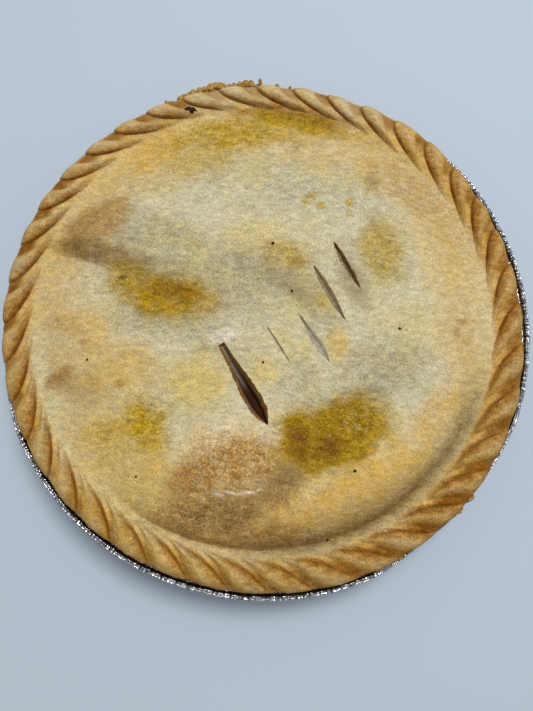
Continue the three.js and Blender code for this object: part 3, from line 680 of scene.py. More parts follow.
def lid_height(pie, x, y):
    """Height of the lid, with its dome, lumps, folds, wrinkles and unevenness"""
    inside = pie.dome_foot - np.hypot(x - pie.shift_x, y - pie.shift_y)
    turn = np.arctan2(y - pie.shift_y, x - pie.shift_x)
    near = toward(turn, NEAR, 0.55, 0.95)
    low = toward(turn, NEAR_LEFT, 0.5, 0.95)
    run = pie.dome_run + (pie.steep_run - pie.dome_run) * near + (pie.low_run - pie.dome_run) * low
    power = DOME_POWER - near - 0.5 * low
    dome = pie.dome_rise * (1 - (1 - np.clip(inside / run, 0, 1)) ** 2) ** power
    foot = -FOOT_CREASE_DEPTH * near * hump(inside, *FOOT_CREASE)
    lumps = sum(lump.rise * hump(oval_distance(lump, x, y), 0, 1) for lump in LUMPS)
    lines = np.zeros(np.shape(x))
    for wrinkle in WRINKLES:
        away, share = line_distance(wrinkle.points, x, y)
        lines += wrinkle.rise * hump(away, 0, wrinkle.width) * np.sin(np.pi * (0.1 + 0.8 * share))
    for fold in FOLDS:
        away, share = line_distance(fold.points, x, y)
        up = np.maximum(away, 0) / fold.width
        bank = (1 - np.exp(-up)) * np.exp(-up / BANK_REACH)
        lines += fold.rise * bank * smoothstep(0, FOLD_BEGIN, share) * (1 - smoothstep(FOLD_FADE, 1, share))
    crust = patches("crackle_and_glints", x, y, RELIEF_SEED) + 0.8 * patches("wet", x, y, RELIEF_SEED)
    ridges = 0.5 - np.abs(soft_noise(x, RIDGE_STRETCH * y, RIDGE_BREADTH, RIDGE_SEED))
    crags = RIDGE_HEIGHT * ridges + uneven(x, y, CRAG_BUMPS)
    fade = smoothstep(0, pie.lump_fade, inside)
    height = pie.gutter_height + dome + foot + (lumps + lines) * fade
    return height + uneven(x, y, LID_BUMPS) * (0.3 + 0.7 * fade) + crags * crust


def rib_phases(count):
    """Places of the mesh lines from one crease to the next, close together where the form is sharp"""
    phase = np.linspace(0, 1, 2001)
    from_crease = np.minimum(phase, 1 - phase)
    density = 1 + 2.5 * hump(from_crease, 0, 0.06) + hump(phase, 0.24, 0.07)
    total = np.cumsum(density) - density[0]
    return np.interp(np.arange(count) / count, total / total[-1], phase)


def crimp_values(turn):
    """The crimp's table at angles round the pie"""
    angles, *columns = np.transpose(CRIMP)
    return CrimpSide(turn, *(np.interp(np.degrees(turn), angles, column, period=360) for column in columns))


def tip_curl(side):
    """How much the ribs' inner tips curl, which they do where they end well before the next crease"""
    return smoothstep(0.2, 0.5, 1 - side.tip_right)


def crimp_ring(pie, phases, share):
    """One ring of the crimp, at a share of the way from the ribs' inner tips to the crust's edge, with each
    point's marks: that share, its phase between creases, how much of the rib's body it has and where across
    the rib it lies"""
    rib = np.repeat(np.arange(pie.ribs), len(phases))
    phase = np.tile(phases, pie.ribs)
    size = 1 + RIB_VARIATION * np.random.default_rng(RIB_SEED).uniform(-1, 1, pie.ribs)[rib]
    spacing = 2 * np.pi / pie.ribs
    ahead = sum(height * np.cos(waves * spacing * (rib + phase) + math.radians(lag))
                for waves, height, lag in CREASE_WAVES)
    bowed = pie.rib_sweep * (1 - (1 - share) ** 2.6) ** 0.85
    straight = pie.rib_sweep * share ** 0.62
    angle = pie.first_tip + spacing * (rib + phase + ahead + bowed)
    side = crimp_values(angle)
    angle = angle - spacing * (1 - side.bow) * (bowed - straight)

    curl = tip_curl(side)
    left = side.valley + (side.tip_left - side.valley) * np.maximum(0, 1 - share / 0.55) ** 1.2
    right = 1 - (1 - side.tip_right) * np.maximum(0, 1 - share / 0.45) ** 1.6
    across = (phase - left) / (right - left)
    along = np.clip(across, 0, 1)
    rising = np.sin(0.5 * np.pi * np.minimum(along / RIB_CREST, 1)) ** 1.6
    falling = np.sqrt(1 - (np.maximum(along - RIB_CREST, 0) / (1 - RIB_CREST)) ** 2)
    body = rising * falling
    begun = np.maximum(0, share - side.start)
    rise = 1 - np.exp(-(begun / (0.08 - 0.05 * side.bow * np.minimum(1, side.start / 0.06))) ** 1.1)
    crease = CREASE_DEPTH * hump(np.minimum(phase, 1 - phase), 0, CREASE_WIDTH)
    taper = 1 - (RIB_TAPER + CURL_TAPER * curl) * share ** 2.5
    height = pie.rib_height * taper * size * body * rise - crease * smoothstep(0.05, 0.25, begun)

    radius = pie.crimp_foot + (pie.crimp_width + side.edge * share) * share
    radius = radius + MIDDLE_OUT * math.sin(math.pi * share) + pie.rib_bulge * share * body
    x, y = pie.shift_x + radius * np.cos(angle), pie.shift_y + radius * np.sin(angle)
    base = pie.gutter_height + CRIMP_SWELL * share * (1 - share) - EDGE_DROP * share ** 6
    bumps = uneven(x, y, CRIMP_BUMPS) * (0.3 + 0.7 * rise)
    points = np.column_stack([x, y, base + height + bumps])
    return points, np.column_stack([np.full(len(x), share), phase, body * rise, across])


def circle(radius, height, count, start):
    """A level ring of points round the plate's axis"""
    angle = start + 2 * np.pi * np.arange(count) / count
    return np.column_stack([radius * np.cos(angle), radius * np.sin(angle), np.full(count, height)])


def skin(rings):
    """Vertices and faces of a closed skin through rings that run anticlockwise, from point to point.
    A ring has as many points as the one before it, or half or twice as many."""
    starts = np.cumsum([0] + [len(ring) for ring in rings])
    faces = []

    def at(ring, base, k):
        return (base + k % len(ring)).tolist()

    for a, b, first, second in zip(rings, rings[1:], starts, starts[1:]):
        steps = max(len(a), len(b)) if 1 in (len(a), len(b)) else min(len(a), len(b))
        i = np.arange(steps)
        if len(b) == 1:
            faces += zip(at(a, first, i), at(a, first, i + 1), at(b, second, i))
        elif len(a) == 1:
            faces += zip(at(a, first, i), at(b, second, i + 1), at(b, second, i))
        elif len(a) == len(b):
            faces += zip(at(a, first, i), at(a, first, i + 1), at(b, second, i + 1), at(b, second, i))
        elif len(a) > len(b):
            left, middle, right = (at(a, first, 2 * i + k) for k in range(3))
            near, far = at(b, second, i), at(b, second, i + 1)
            faces += [*zip(left, middle, near), *zip(middle, far, near), *zip(middle, right, far)]
        else:
            left, middle, right = (at(b, second, 2 * i + k) for k in range(3))
            near, far = at(a, first, i), at(a, first, i + 1)
            faces += [*zip(near, far, middle), *zip(near, middle, left), *zip(far, right, middle)]
    return np.vstack(rings), faces


def pie_rings(pie):
    """Rings of the whole pie from the middle of its underside to the middle of its lid, with the marks of
    each point"""
    phases = rib_phases(RIB_COLUMNS)
    columns = pie.ribs * len(phases)
    sweep_end = pie.first_tip + 2 * np.pi / pie.ribs * pie.rib_sweep
    rings = [np.array([[0, 0, pie.floor]])]
    rings.append(circle(pie.base_radius, pie.floor, columns // 8, sweep_end))
    rings.append(circle(pie.wall_foot, SIDE_FOOT, columns // 8, sweep_end))
    rings.append(circle(pie.wall_top, pie.ledge - SHOULDER_DOWN, columns // 4, sweep_end))
    rings.append(circle(pie.wall_top + SHOULDER_OUT, pie.ledge, columns // 2, sweep_end))
    marks = [np.tile(UNDERSIDE, (len(ring), 1)) for ring in rings]

    edge, edge_marks = crimp_ring(pie, phases, 1.0)
    out = edge[:, :2] - (pie.shift_x, pie.shift_y)
    out /= np.hypot(*out.T)[:, None]
    ragged = uneven(*edge[:, :2].T, EDGE_BUMPS)
    for drop, pull in EDGE_SECTION:
        ring = edge.copy()
        ring[:, :2] += out * (ragged * (1 - drop) - pull)[:, None]
        ring[:, 2] = pie.ledge * drop + edge[:, 2] * (1 - drop)
        rings.append(ring)
        marks.append(edge_marks + PAST_EDGE)
    for share in np.linspace(1, 0, CRIMP_RINGS) ** CRIMP_CROWDING:
        ring, ring_marks = crimp_ring(pie, phases, share)
        rings.append(ring)
        marks.append(ring_marks)

    first = crimp_ring(pie, phases, 0.0)[0][:, :2] - (pie.shift_x, pie.shift_y)
    angle = np.arctan2(first[:, 1], first[:, 0])
    radius = pie.crimp_foot
    while radius > LID_MIDDLE:
        radius -= LID_SPACING
        if radius * 2 * np.pi / len(angle) < 0.5 * LID_SPACING:
            angle = angle[::2]
        x, y = pie.shift_x + radius * np.cos(angle), pie.shift_y + radius * np.sin(angle)
        rings.append(np.column_stack([x, y, lid_height(pie, x, y)]))
        marks.append(np.tile(ON_LID, (len(x), 1)))
    middle = np.array([[pie.shift_x, pie.shift_y]])
    rings.append(np.column_stack([middle, lid_height(pie, *middle.T)]))
    marks.append(np.array([ON_LID]))
    return rings, np.vstack(marks)


def slit_halves(slit, share):
    """Half the width of a slit at shares of its length"""
    lean = slit.widest / (1 - slit.widest)
    outline = (share / slit.widest) ** lean * ((1 - share) / (1 - slit.widest))
    outline = np.where(share < slit.widest, slit.blunt + (1 - slit.blunt) * outline, outline)
    return 0.5 * slit.width * np.maximum(outline, 0.02)


def slit_depth(slit, share):
    """Depth of a slit at shares of its length"""
    return slit.depth * (0.45 + 0.55 * np.sin(np.pi * np.minimum(1, 0.08 + 0.9 * share)))


def slit_blade(pie, slit, seed):
    """Rings of the blade that cuts one slit: upright above the lid, narrowing below it, with a bevel that
    leaves the lips"""
    start, end = np.array(slit.start), np.array(slit.end)
    run = np.hypot(*(end - start))
    along = (end - start) / run
    across = np.array([-along[1], along[0]])
    rings = []
    for share in np.linspace(0, 1, SLIT_STEPS + 1):
        middle = start + along * run * share
        ragged = soft_noise(np.full(2, run * share), np.array([0, EDGES_APART]), BAY_LENGTH, seed)
        left, right = slit_halves(slit, np.array(share)) * (1 + 0.5 * slit.ragged * ragged)
        top = float(lid_height(pie, middle[:1], middle[1:])[0])
        deep = float(slit_depth(slit, share))
        section = []
        for half, side in ((left, -1), (right, 1)):
            inner = half - min(LIP_WIDTH, 0.4 * half)
            bevel = half - 0.1 * (half - inner)
            walls = [(half, BLADE_TOP), (half, 0), (bevel, -0.05 * deep), (inner, -0.2 * deep),
                     (0.94 * inner, -0.28 * deep), (0.6 * inner, -0.55 * deep), (slit.floor * half, -deep)]
            section.append([(side * away, rise) for away, rise in walls])
        ring = section[0] + section[1][::-1]
        rings.append(np.array([[*(middle + across * away), top + rise] for away, rise in ring]))
    first, last = rings[0].mean(axis=0, keepdims=True), rings[-1].mean(axis=0, keepdims=True)
    return [first, *rings, last]


def mesh_object(name, vertices, faces):
    """A new smooth-shaded object from millimetre vertices"""
    mesh = bpy.data.meshes.new(name)
    mesh.from_pydata((np.asarray(vertices) * MM).tolist(), [], faces)
    mesh.validate()
    mesh.shade_smooth()
    piece = bpy.data.objects.new(name, mesh)
    bpy.context.scene.collection.objects.link(piece)
    return piece


def joined(parts):
    """Vertices and faces of several meshes as one"""
    vertices, faces, count = [], [], 0
    for points, polygons in parts:
        vertices.append(points)
        faces += [tuple(count + corner for corner in polygon) for polygon in polygons]
        count += len(points)
    return np.vstack(vertices), faces


def store(mesh, name, values):
    """Keep one number for each vertex, for the material to read"""
    attribute = mesh.attributes.get(name) or mesh.attributes.new(name, "FLOAT", "POINT")
    attribute.data.foreach_set("value", np.asarray(values, np.float32))


def stored(mesh, name):
    """The numbers kept for each vertex"""
    values = np.empty(len(mesh.vertices), np.float32)
    mesh.attributes[name].data.foreach_get("value", values)
    return values


def vertex_places(mesh):
    """Vertices of a mesh in millimetres"""
    places = np.empty(3 * len(mesh.vertices), np.float32)
    mesh.vertices.foreach_get("co", places)
    return places.reshape(-1, 3).astype(float) / MM


def cut_slits(pie, piece):
    """Cut the steam slits into the lid"""
    parts = [skin(slit_blade(pie, slit, SLIT_SEED + i)) for i, slit in enumerate(SLITS)]
    blades = mesh_object("slit_blades", *joined(parts))
    modifier = piece.modifiers.new("slits", "BOOLEAN")
    modifier.operation = "DIFFERENCE"
    modifier.solver = "MANIFOLD"
    modifier.object = blades
    graph = bpy.context.evaluated_depsgraph_get()
    whole = len(piece.data.vertices)
    cut = bpy.data.meshes.new_from_object(piece.evaluated_get(graph))
    if len(cut.vertices) in (0, whole):
        raise RuntimeError("the steam slits weren't cut")
    piece.modifiers.clear()
    piece.data = cut
    bpy.data.objects.remove(blades)


# Pie: colours of the baked skin, with painted shade and glints, worked out at each vertex

def patches(layer, x, y, seed):
    """How strongly a layer's patches show, with edges that wander"""
    wander = uneven(x, y, WANDER, seed)
    total = np.zeros(np.shape(x))
    for patch in PATCHES[layer]:
        away = oval_distance(patch, x, y) + wander * min(1, 2 * patch.soft)
        total = np.maximum(total, patch.strength * (1 - smoothstep(1 - patch.soft, 1 + patch.soft, away)))
    return total


def paint_lid(layers, x, y, radius, turn):
    """Yellow clouds on the lid, its golden ring, and browning and painted shade at the foot of its dome"""
    near = toward(turn, NEAR, 0.7, 0.95)
    near_half = toward(turn, NEAR, -0.3, 0.3)
    sides = toward(turn, NEAR_LEFT, 0.8, 0.95) + 0.4 * toward(turn, RIGHT, 0.5, 0.9)
    blotch = uneven(x, y, BLOTCHES)
    clouds = np.clip(0.2 + 0.5 * blotch + uneven(x, y, BUTTER_CLOUDS), 0, 0.6)
    gutter = smoothstep(*GUTTER, radius)
    ring = smoothstep(*GOLDEN_RING, radius + RING_WANDER * blotch)
    ring = ring * (1 - 0.75 * sides * smoothstep(*PALE_SIDES, radius))
    # Browning of the dome's near face and foot, partly painted shade
    foot = near * (0.5 * hump(radius, *BROWN_AND_SHADED_FOOT) + 0.3 * smoothstep(*NEAR_FACE, radius) * (1 - gutter))
    # Painted shade in the gutter at the near right of the dome's foot: greyer, duller and less golden
    shaded_foot = toward(turn, SHADED_FOOT_SIDE, 0.65, 0.92) * hump(radius, *SHADED_FOOT_BAND)

    golden = np.maximum(0.6 * ring, layers["golden"] * (1 + 0.2 * blotch))
    toasted_and_shade = layers["toasted_and_shade"] * (1 + 0.3 * blotch) * (1 - gutter * near_half)
    layers["damp_and_shade"] = np.maximum(layers["damp_and_shade"], shaded_foot)
    layers["buttery"] = np.maximum(layers["buttery"] * (1 + 0.5 * blotch), clouds)
    layers["golden"] = golden * (1 - 0.3 * near * gutter) * (1 - 0.6 * shaded_foot)
    layers["toasted_and_shade"] = np.maximum(toasted_and_shade, foot)
    layers["painted_shade"] = np.maximum(layers["painted_shade"], 0.65 * shaded_foot)
    return blotch


def paint_crimp(layers, marks, turn, blotch):
    """Brown the ribs' flanks and the valleys between them, with painted shade on the flanks"""
    share, phase, body, across = marks
    side = crimp_values(turn)
    on_crimp = smoothstep(0, 0.1, share)
    inner = 1 - smoothstep(0.1, 0.4, share)
    outer = smoothstep(0.8, 1, share)
    curl = tip_curl(side)
    warm = toward(turn, WARM, -0.5, 0.7)
    mild = toward(turn, MILD, 0.6, 0.95)
    far = toward(turn, FAR, 0.75, 0.97)
    pale = toward(turn, PALE_TIPS, 0.2, 0.8) * (1 - smoothstep(0.05, 0.35, share))
    leak = toward(turn, LEAK, 0.95, 0.99) * inner * (1 - 0.8 * body)

    groove = hump(across, 1, 0.07) + hump(phase, 0, 0.05)
    groove = groove * smoothstep(0.06, 0.22, share) * (1 - 0.5 * outer)
    low = (1 - smoothstep(0.1, 0.5, body)) * (phase < 0.6) * smoothstep(0.3, 0.55, share)
    low = low * (1 - 0.6 * outer)
    # Masks of the rib's right flank, for browning and painted shade, and of its left flank, for painted shade
    right = smoothstep(0.45, 0.9, phase) * (1 - 0.65 * smoothstep(0.45, 1, share)) * smoothstep(0, 0.2, share)
    left = smoothstep(0.02, 0.12, phase) * (1 - smoothstep(side.valley + 0.1, side.valley + 0.4, phase))
    tips = (1 - smoothstep(0.15, 0.4, share)) * smoothstep(0.05, 0.3, body) * curl

    # Browning of the crimp, with painted shade from the flank masks
    toast_and_shade = side.flank * right + side.back * left * smoothstep(0.25, 0.45, share)
    toast_and_shade = toast_and_shade + 0.3 * smoothstep(0.85, 1.05, share) + 0.4 * tips
    toast_and_shade = toast_and_shade + 0.15 * toward(turn, LEFT, 0.5, 1) + 0.08 * toward(turn, RIGHT, 0.5, 1)
    toast_and_shade = toast_and_shade + 0.35 * toward(turn, LEAK_END, 0.9, 0.98) * (1 - smoothstep(0.3, 0.6, share))
    toast_and_shade = 0.2 * warm * (1 - pale) + toast_and_shade * (1 - 0.4 * far) + 0.8 * leak
    toast_and_shade = np.clip(toast_and_shade, 0, 1) * (1 + 0.4 * blotch)
    golden = 0.8 + 0.15 * warm + 0.15 * mild - 0.2 * far - 0.4 * pale
    golden = golden - 0.2 * smoothstep(0.7, 1, body) + 0.3 * blotch

    layers["golden"] += (golden - layers["golden"]) * on_crimp
    layers["toasted_and_shade"] += (toast_and_shade - layers["toasted_and_shade"]) * on_crimp
    layers["browned"] = np.maximum(0.85 * groove, side.brown * low * (1 + 0.6 * blotch)) * on_crimp
    # Painted shade reaches the crimp only at the ribs' inner tips
    layers["painted_shade"] = layers["painted_shade"] * inner
    for name in ("damp_and_shade", "buttery", "gravy"):
        layers[name] = layers[name] * (1 - 0.7 * on_crimp)


def paint_slits(pie, layers, x, y, z):
    """The crust's cut faces, their browned lips and the dark filling below"""
    below = lid_height(pie, x, y) - z
    layers.update({name: np.zeros(x.shape) for name in SLIT_LAYERS})
    for slit in SLITS:
        away, along = line_distance([slit.start, slit.end], x, y)
        sunk = below / slit_depth(slit, along)
        within = (np.abs(away) < slit.width) & (sunk > 0.03) & (z > pie.gutter_height)
        core = 1 - min(1, 2 * slit.blunt) * (1 - smoothstep(0.1, 0.9 * slit.widest, along))
        values = {
            "cut": smoothstep(0.02, 0.1, sunk),
            "lips": slit.brown * (1 - 0.3 * smoothstep(0.2, 0.3, sunk) - 0.7 * smoothstep(0.5, 0.9, sunk)),
            "filling": slit.dark * core * smoothstep(0.2, 0.5, sunk),
        }
        for name, value in values.items():
            layers[name] = np.where(within, value, layers[name])


def paint_pie(pie, mesh):
    """Work out how strongly each colour of the baked skin shows"""
    x, y, z = vertex_places(mesh).T
    radius = np.hypot(x - pie.shift_x, y - pie.shift_y)
    turn = np.arctan2(y - pie.shift_y, x - pie.shift_x)
    layers = {name: patches(name, x, y, COLOUR_SEED) for name in PATCHES}
    blotch = paint_lid(layers, x, y, radius, turn)
    paint_crimp(layers, [stored(mesh, name) for name in CRIMP_MARKS], turn, blotch)
    soaked = layers["gravy"] * (1 - 0.7 * layers["wet"])
    rough = [0.5 * layers["crackle_and_glints"], 0.8 * soaked, 0.7 * layers["toasted_and_shade"], 0.4 * layers["damp_and_shade"]]
    layers["crusted"] = np.max(rough, axis=0)
    # Painted glints: faint pale strands all over the wet film
    layers["crackle_and_glints"] = np.maximum(layers["crackle_and_glints"], 0.05 * layers["wet"])
    paint_slits(pie, layers, x, y, z)
    for name, values in layers.items():
        store(mesh, name, np.clip(values, 0, 1.5))


# Materials

def set_inputs(tree, node, inputs):
    """Link a node's inputs to other nodes' outputs, or set them to values"""
    for name, value in inputs.items():
        if isinstance(value, bpy.types.NodeSocket):
            tree.links.new(value, node.inputs[name])
        else:
            node.inputs[name].default_value = value


def add_node(tree, kind, inputs=None, out=0, **settings):
    """Add a node with its settings and inputs, and give one of its outputs"""
    node = tree.nodes.new("ShaderNode" + kind)
    for name, value in settings.items():
        setattr(node, name, value)
    set_inputs(tree, node, inputs or {})
    return node.outputs[out]


def maths(tree, operation, *values, **settings):
    """Work out a number from values and other nodes' outputs"""
    return add_node(tree, "Math", dict(enumerate(values)), operation=operation, **settings)


def ramp(tree, value, low, high, to_low=0.0, to_high=1.0):
    """Stretch one range of a value to another"""
    return add_node(tree, "MapRange", {
        "Value": value, "From Min": low, "From Max": high, "To Min": to_low, "To Max": to_high})


def mixed(tree, share, under, over):
    """Lay a share of one colour over another"""
    return add_node(tree, "Mix", {0: share, 6: under, 7: over}, 2, data_type="RGBA")


def painted(tree, layer):
    """How strongly a layer is painted at each vertex"""
    return add_node(tree, "Attribute", out="Fac", attribute_name=layer)


def per_metre(size):
    """Scale of a pattern whose grain is this many millimetres"""
    return 1 / (size * MM)


def noise(tree, place, size, detail, roughness=0.5, distortion=0.0):
    """A noise whose grain is this many millimetres"""
    return add_node(tree, "TexNoise", {
        "Vector": place, "Scale": per_metre(size), "Detail": detail, "Roughness": roughness,
        "Distortion": distortion})


def new_material(name):
    """An empty node material, its nodes and its surface shader"""
    material = bpy.data.materials.new(name)
    material.use_nodes = True
    tree = material.node_tree
    return material, tree, tree.nodes["Principled BSDF"]


def baked_pastry():
    """Shortcrust, rolled and baked: a dry, matt, floury skin that is pale in the middle, golden where the
    oven caught it and brown in the creases, with fine grain and mustard stains where gravy soaked in,
    painted shade in folds and hollows, and painted glints on the wet gravy"""
    colours = bpy.context.scene.pie_colours
    material, tree, surface = new_material("baked_shortcrust_pastry")
    place = add_node(tree, "NewGeometry", out="Position")
    rolled = add_node(tree, "Mapping", {
        "Vector": place, "Rotation": (0.5, 0.3, math.radians(-50)), "Scale": (0.45, 1, 1)})
    turned = add_node(tree, "Mapping", {"Vector": place, "Rotation": (0.6, 0.4, 0.7)})
    grain = noise(tree, turned, FLOUR_GRAIN, 1, 0.6)
    streaks = noise(tree, rolled, ROLLED_STREAKS, 3, 0.6)
    mottle = noise(tree, place, CRUST_MOTTLE, 4, 0.75)
    threads = noise(tree, place, SKIN_STRANDS, 1.5, distortion=0.8)
    clouds = noise(tree, place, STAIN_CLOUDS, 1, 0.4)

    # The painted layers, one over the other, broken up by clouds
    cloudy = ramp(tree, clouds, 0.3, 0.7, 0.85, 1.15)
    tone = (*colours.pale, 1)
    for layer in SKIN_LAYERS + SLIT_LAYERS:
        share = painted(tree, layer)
        if layer in SKIN_LAYERS:
            share = maths(tree, "MULTIPLY", share, cloudy, use_clamp=True)
        tone = mixed(tree, share, tone, (*getattr(colours, layer), 1))

    # Strands of pale skin where the crust is cracked, and painted glints on the wet film
    off_line = maths(tree, "ABSOLUTE", maths(tree, "SUBTRACT", threads, 0.5))
    lines = ramp(tree, off_line, 0.01, 0.07, 0.5, 0.0)
    share = maths(tree, "MULTIPLY", painted(tree, "crackle_and_glints"), lines)
    tone = mixed(tree, share, tone, (*colours.strands, 1))

    # Grain and streaks lighten and darken the tone, with flecks where it is crusted
    crusted = painted(tree, "crusted")
    fine = maths(tree, "ADD", grain, streaks)
    light = maths(tree, "SUBTRACT", fine, 1.0)
    light = maths(tree, "MULTIPLY", light, maths(tree, "ADD", crusted, 1.0))
    flecks = maths(tree, "MULTIPLY", maths(tree, "SUBTRACT", mottle, 0.5), crusted)
    light = maths(tree, "MULTIPLY_ADD", flecks, FLECK_CONTRAST, light)
    factor = maths(tree, "MULTIPLY_ADD", light, GRAIN_CONTRAST, 1.0)
    factor = maths(tree, "POWER", factor, EYE_GAMMA)
    shaded = add_node(tree, "VectorMath", {0: tone, "Scale": factor}, operation="SCALE")

    # A wrinkled wet film over the deep gravy
    wet = painted(tree, "wet")
    roughness = ramp(tree, wet, 0, 1, DRY_ROUGHNESS, WET_ROUGHNESS)
    wrinkles = maths(tree, "MULTIPLY", off_line, wet)
    height = maths(tree, "MULTIPLY_ADD", wrinkles, FILM_WRINKLES, fine)
    bump = add_node(tree, "Bump", {"Height": height, "Strength": 0.7, "Distance": 0.3 * MM})
    set_inputs(tree, surface, {
        "Base Color": shaded, "Normal": bump, "Roughness": roughness, "IOR": 1.45,
        "Specular IOR Level": 0.2})
    return material


def crumpled_foil():
    """Aluminium foil, rolled bright and pressed into a plate: a mirror broken up by creases, so it shows
    bright and dark flecks side by side, the darkest of them painted shade in creases too fine to model"""
    foil = bpy.context.scene.foil_sizes
    material, tree, surface = new_material("pressed_aluminium_foil")
    place = add_node(tree, "NewGeometry", out="Position")
    x = add_node(tree, "SeparateXYZ", {"Vector": place}, "X")
    y = add_node(tree, "SeparateXYZ", {"Vector": place}, "Y")
    around = maths(tree, "MULTIPLY", maths(tree, "ARCTAN2", y, x), foil.rim_radius)
    creases = add_node(tree, "TexNoise", {
        "W": around, "Scale": per_metre(FOIL_CREASES), "Detail": 2, "Roughness": 0.6}, noise_dimensions="1D")
    height = maths(tree, "ADD", creases, noise(tree, place, FOIL_RIPPLES, 2))
    bump = add_node(tree, "Bump", {"Height": height, "Strength": 1.0, "Distance": 0.7 * MM})
    # Painted shade: the finest creases are darkened in the foil's colour
    tone = mixed(tree, ramp(tree, creases, 0.42, 0.52), (*foil.crease, 1), (*foil.metal, 1))
    set_inputs(tree, surface, {"Base Color": tone, "Normal": bump, "Metallic": 1.0, "Roughness": 0.14})
    return material


def crumbly_edge():
    """Broken shortcrust: the dry, browned and crumbly edge of the bottom crust"""
    colours = bpy.context.scene.pie_colours
    material, tree, surface = new_material("broken_shortcrust_crumbs")
    place = add_node(tree, "NewGeometry", out="Position")
    grain = noise(tree, place, CRUMB_GRAIN, 3)
    tone = mixed(tree, ramp(tree, grain, 0.3, 0.7), (*colours.browned, 1), (*colours.golden, 1))
    bump = add_node(tree, "Bump", {"Height": grain, "Strength": 0.6, "Distance": 0.4 * MM})
    set_inputs(tree, surface, {"Base Color": tone, "Normal": bump, "Roughness": 0.8, "IOR": 1.45})
    return material


def charred_pastry():
    """Gravy and pastry burnt to carbon: near black with a dull shine and a rough, blistered skin"""
    colours = bpy.context.scene.pie_colours
    material, tree, surface = new_material("charred_pastry")
    place = add_node(tree, "NewGeometry", out="Position")
    grain = noise(tree, place, CHAR_GRAIN, 2)
    tone = mixed(tree, grain, (*colours.filling, 1), (*colours.char, 1))
    bump = add_node(tree, "Bump", {"Height": grain, "Strength": 0.5, "Distance": 0.2 * MM})
    set_inputs(tree, surface, {
        "Base Color": tone, "Normal": bump, "Roughness": 0.7, "IOR": 1.5, "Specular IOR Level": 0.2})
    return material


def matt_floor():
    """Painted board: a plain pale matt surface with hardly any grain"""
    studio = bpy.context.scene.studio_settings
    material, tree, surface = new_material("matt_painted_board")
    set_inputs(tree, surface, {"Base Color": (*studio.floor_colour, 1), "Roughness": 0.85})
    return material


# Foil plate: form

def crumple(angle, radius, step, seed):
    """Values from -1 to 1 round a ring that change in straight runs about one step long, as creases do"""
    draw = np.random.default_rng(seed)
    count = round(2 * math.pi * radius / step)
    knots = np.sort(draw.uniform(0, 2 * np.pi, count))
    return np.interp(angle, knots, draw.uniform(-1, 1, count), period=2 * np.pi)


def plate_rings(foil):
    """Rings of the plate: underside and outer face out to the roll, then back over the upper face"""
    angle = 2 * np.pi * np.arange(PLATE_COLUMNS) / PLATE_COLUMNS
    top = foil.height - foil.flange_fall
    foot_r, foot_z = foil.base_radius + foil.corner_radius, foil.corner_radius
    roll_r, roll_z = foil.rim_radius - foil.roll_radius, foil.height - foil.roll_radius
    bend = foil.corner_radius * math.sqrt(0.5)
    outer = [(foil.base_radius, 0), (foil.base_radius + bend, foil.corner_radius - bend), (foot_r, foot_z)]
    for share in np.linspace(*WALL_SPAN, WALL_RINGS):
        outer.append((foot_r + share * (foil.flange_radius - foot_r), foot_z + share * (top - foot_z)))
    for share, sag in FLANGE_SAG:
        outer.append((foil.flange_radius + share * (roll_r - foil.flange_radius), top - foil.thickness - sag))
    around = np.radians(np.linspace(*ROLL_SPAN, ROLL_RINGS))
    radii = foil.roll_radius * (1 - ROLL_FLATNESS * hump(around, *ROLL_FLAT))
    roll = [(roll_r + r * math.cos(a), roll_z + r * math.sin(a)) for r, a in zip(radii, around)]
    inset = [foil.thickness * (r > foil.base_radius + 1) for r, z in outer]
    upper = [(r - away, z + foil.thickness) for (r, z), away in zip(outer, inset)][::-1]

    flutes = np.interp(foil.flutes * angle / (2 * np.pi) % 1, [0, 0.5, 1], [-1, 1, -1])
    flutes = flutes + 0.5 * crumple(angle, foil.flange_radius, *FLUTE_CREASES)
    pleats = crumple(angle, foil.rim_radius, *RIM_PLEATS)
    wander = crumple(angle, foil.rim_radius, *RIM_WANDER)
    pulled = np.interp(np.degrees(angle), *np.transpose(RIM_BEND), period=360)

    rings = [np.array([[0, 0, 0]])]
    for number, (r, z) in enumerate([*outer, *roll, *upper]):
        in_wall = smoothstep(foot_z, 2.5 * foot_z, z) * (1 - smoothstep(foil.flange_radius, roll_r - 2, r))
        in_rim = smoothstep(foil.flange_radius, roll_r - foil.roll_radius, r)
        on_roll = len(outer) <= number < len(outer) + len(roll)
        own = crumple(angle, foil.rim_radius, ROLL_CREASE, ROLL_SEED + number) if on_roll else 0
        out = 0.5 * foil.flute_depth * flutes * in_wall - pulled * in_rim
        out = out + foil.crumple * in_rim * (0.5 * wander + 0.25 * own)
        lift = foil.crumple * in_rim * (0.7 * pleats + 0.25 * own)
        rings.append(np.column_stack([(r + out) * np.cos(angle), (r + out) * np.sin(angle), z + lift]))
    rings.append(np.array([[0, 0, foil.thickness]]))
    return rings


# Crumbs and charred spots: form

def lumpy_ball(middle, axes, rough, seed):
    """A rough lump round a place, its half-sizes along three axes"""
    draw = np.random.default_rng(seed)
    rows, around = 5, 9
    rings = []
    for row in range(rows + 2):
        tilt = np.pi * row / (rows + 1)
        count = 1 if row in (0, rows + 1) else around
        spin = 2 * np.pi * np.arange(count) / around
        swell = 1 + rough * draw.uniform(-1, 1, count)
        level = swell * np.sin(tilt)
        local = [level * np.cos(spin), level * np.sin(spin), -swell * np.cos(tilt)]
        rings.append(np.array(middle) + np.transpose(local) @ np.array(axes))
    return skin(rings)


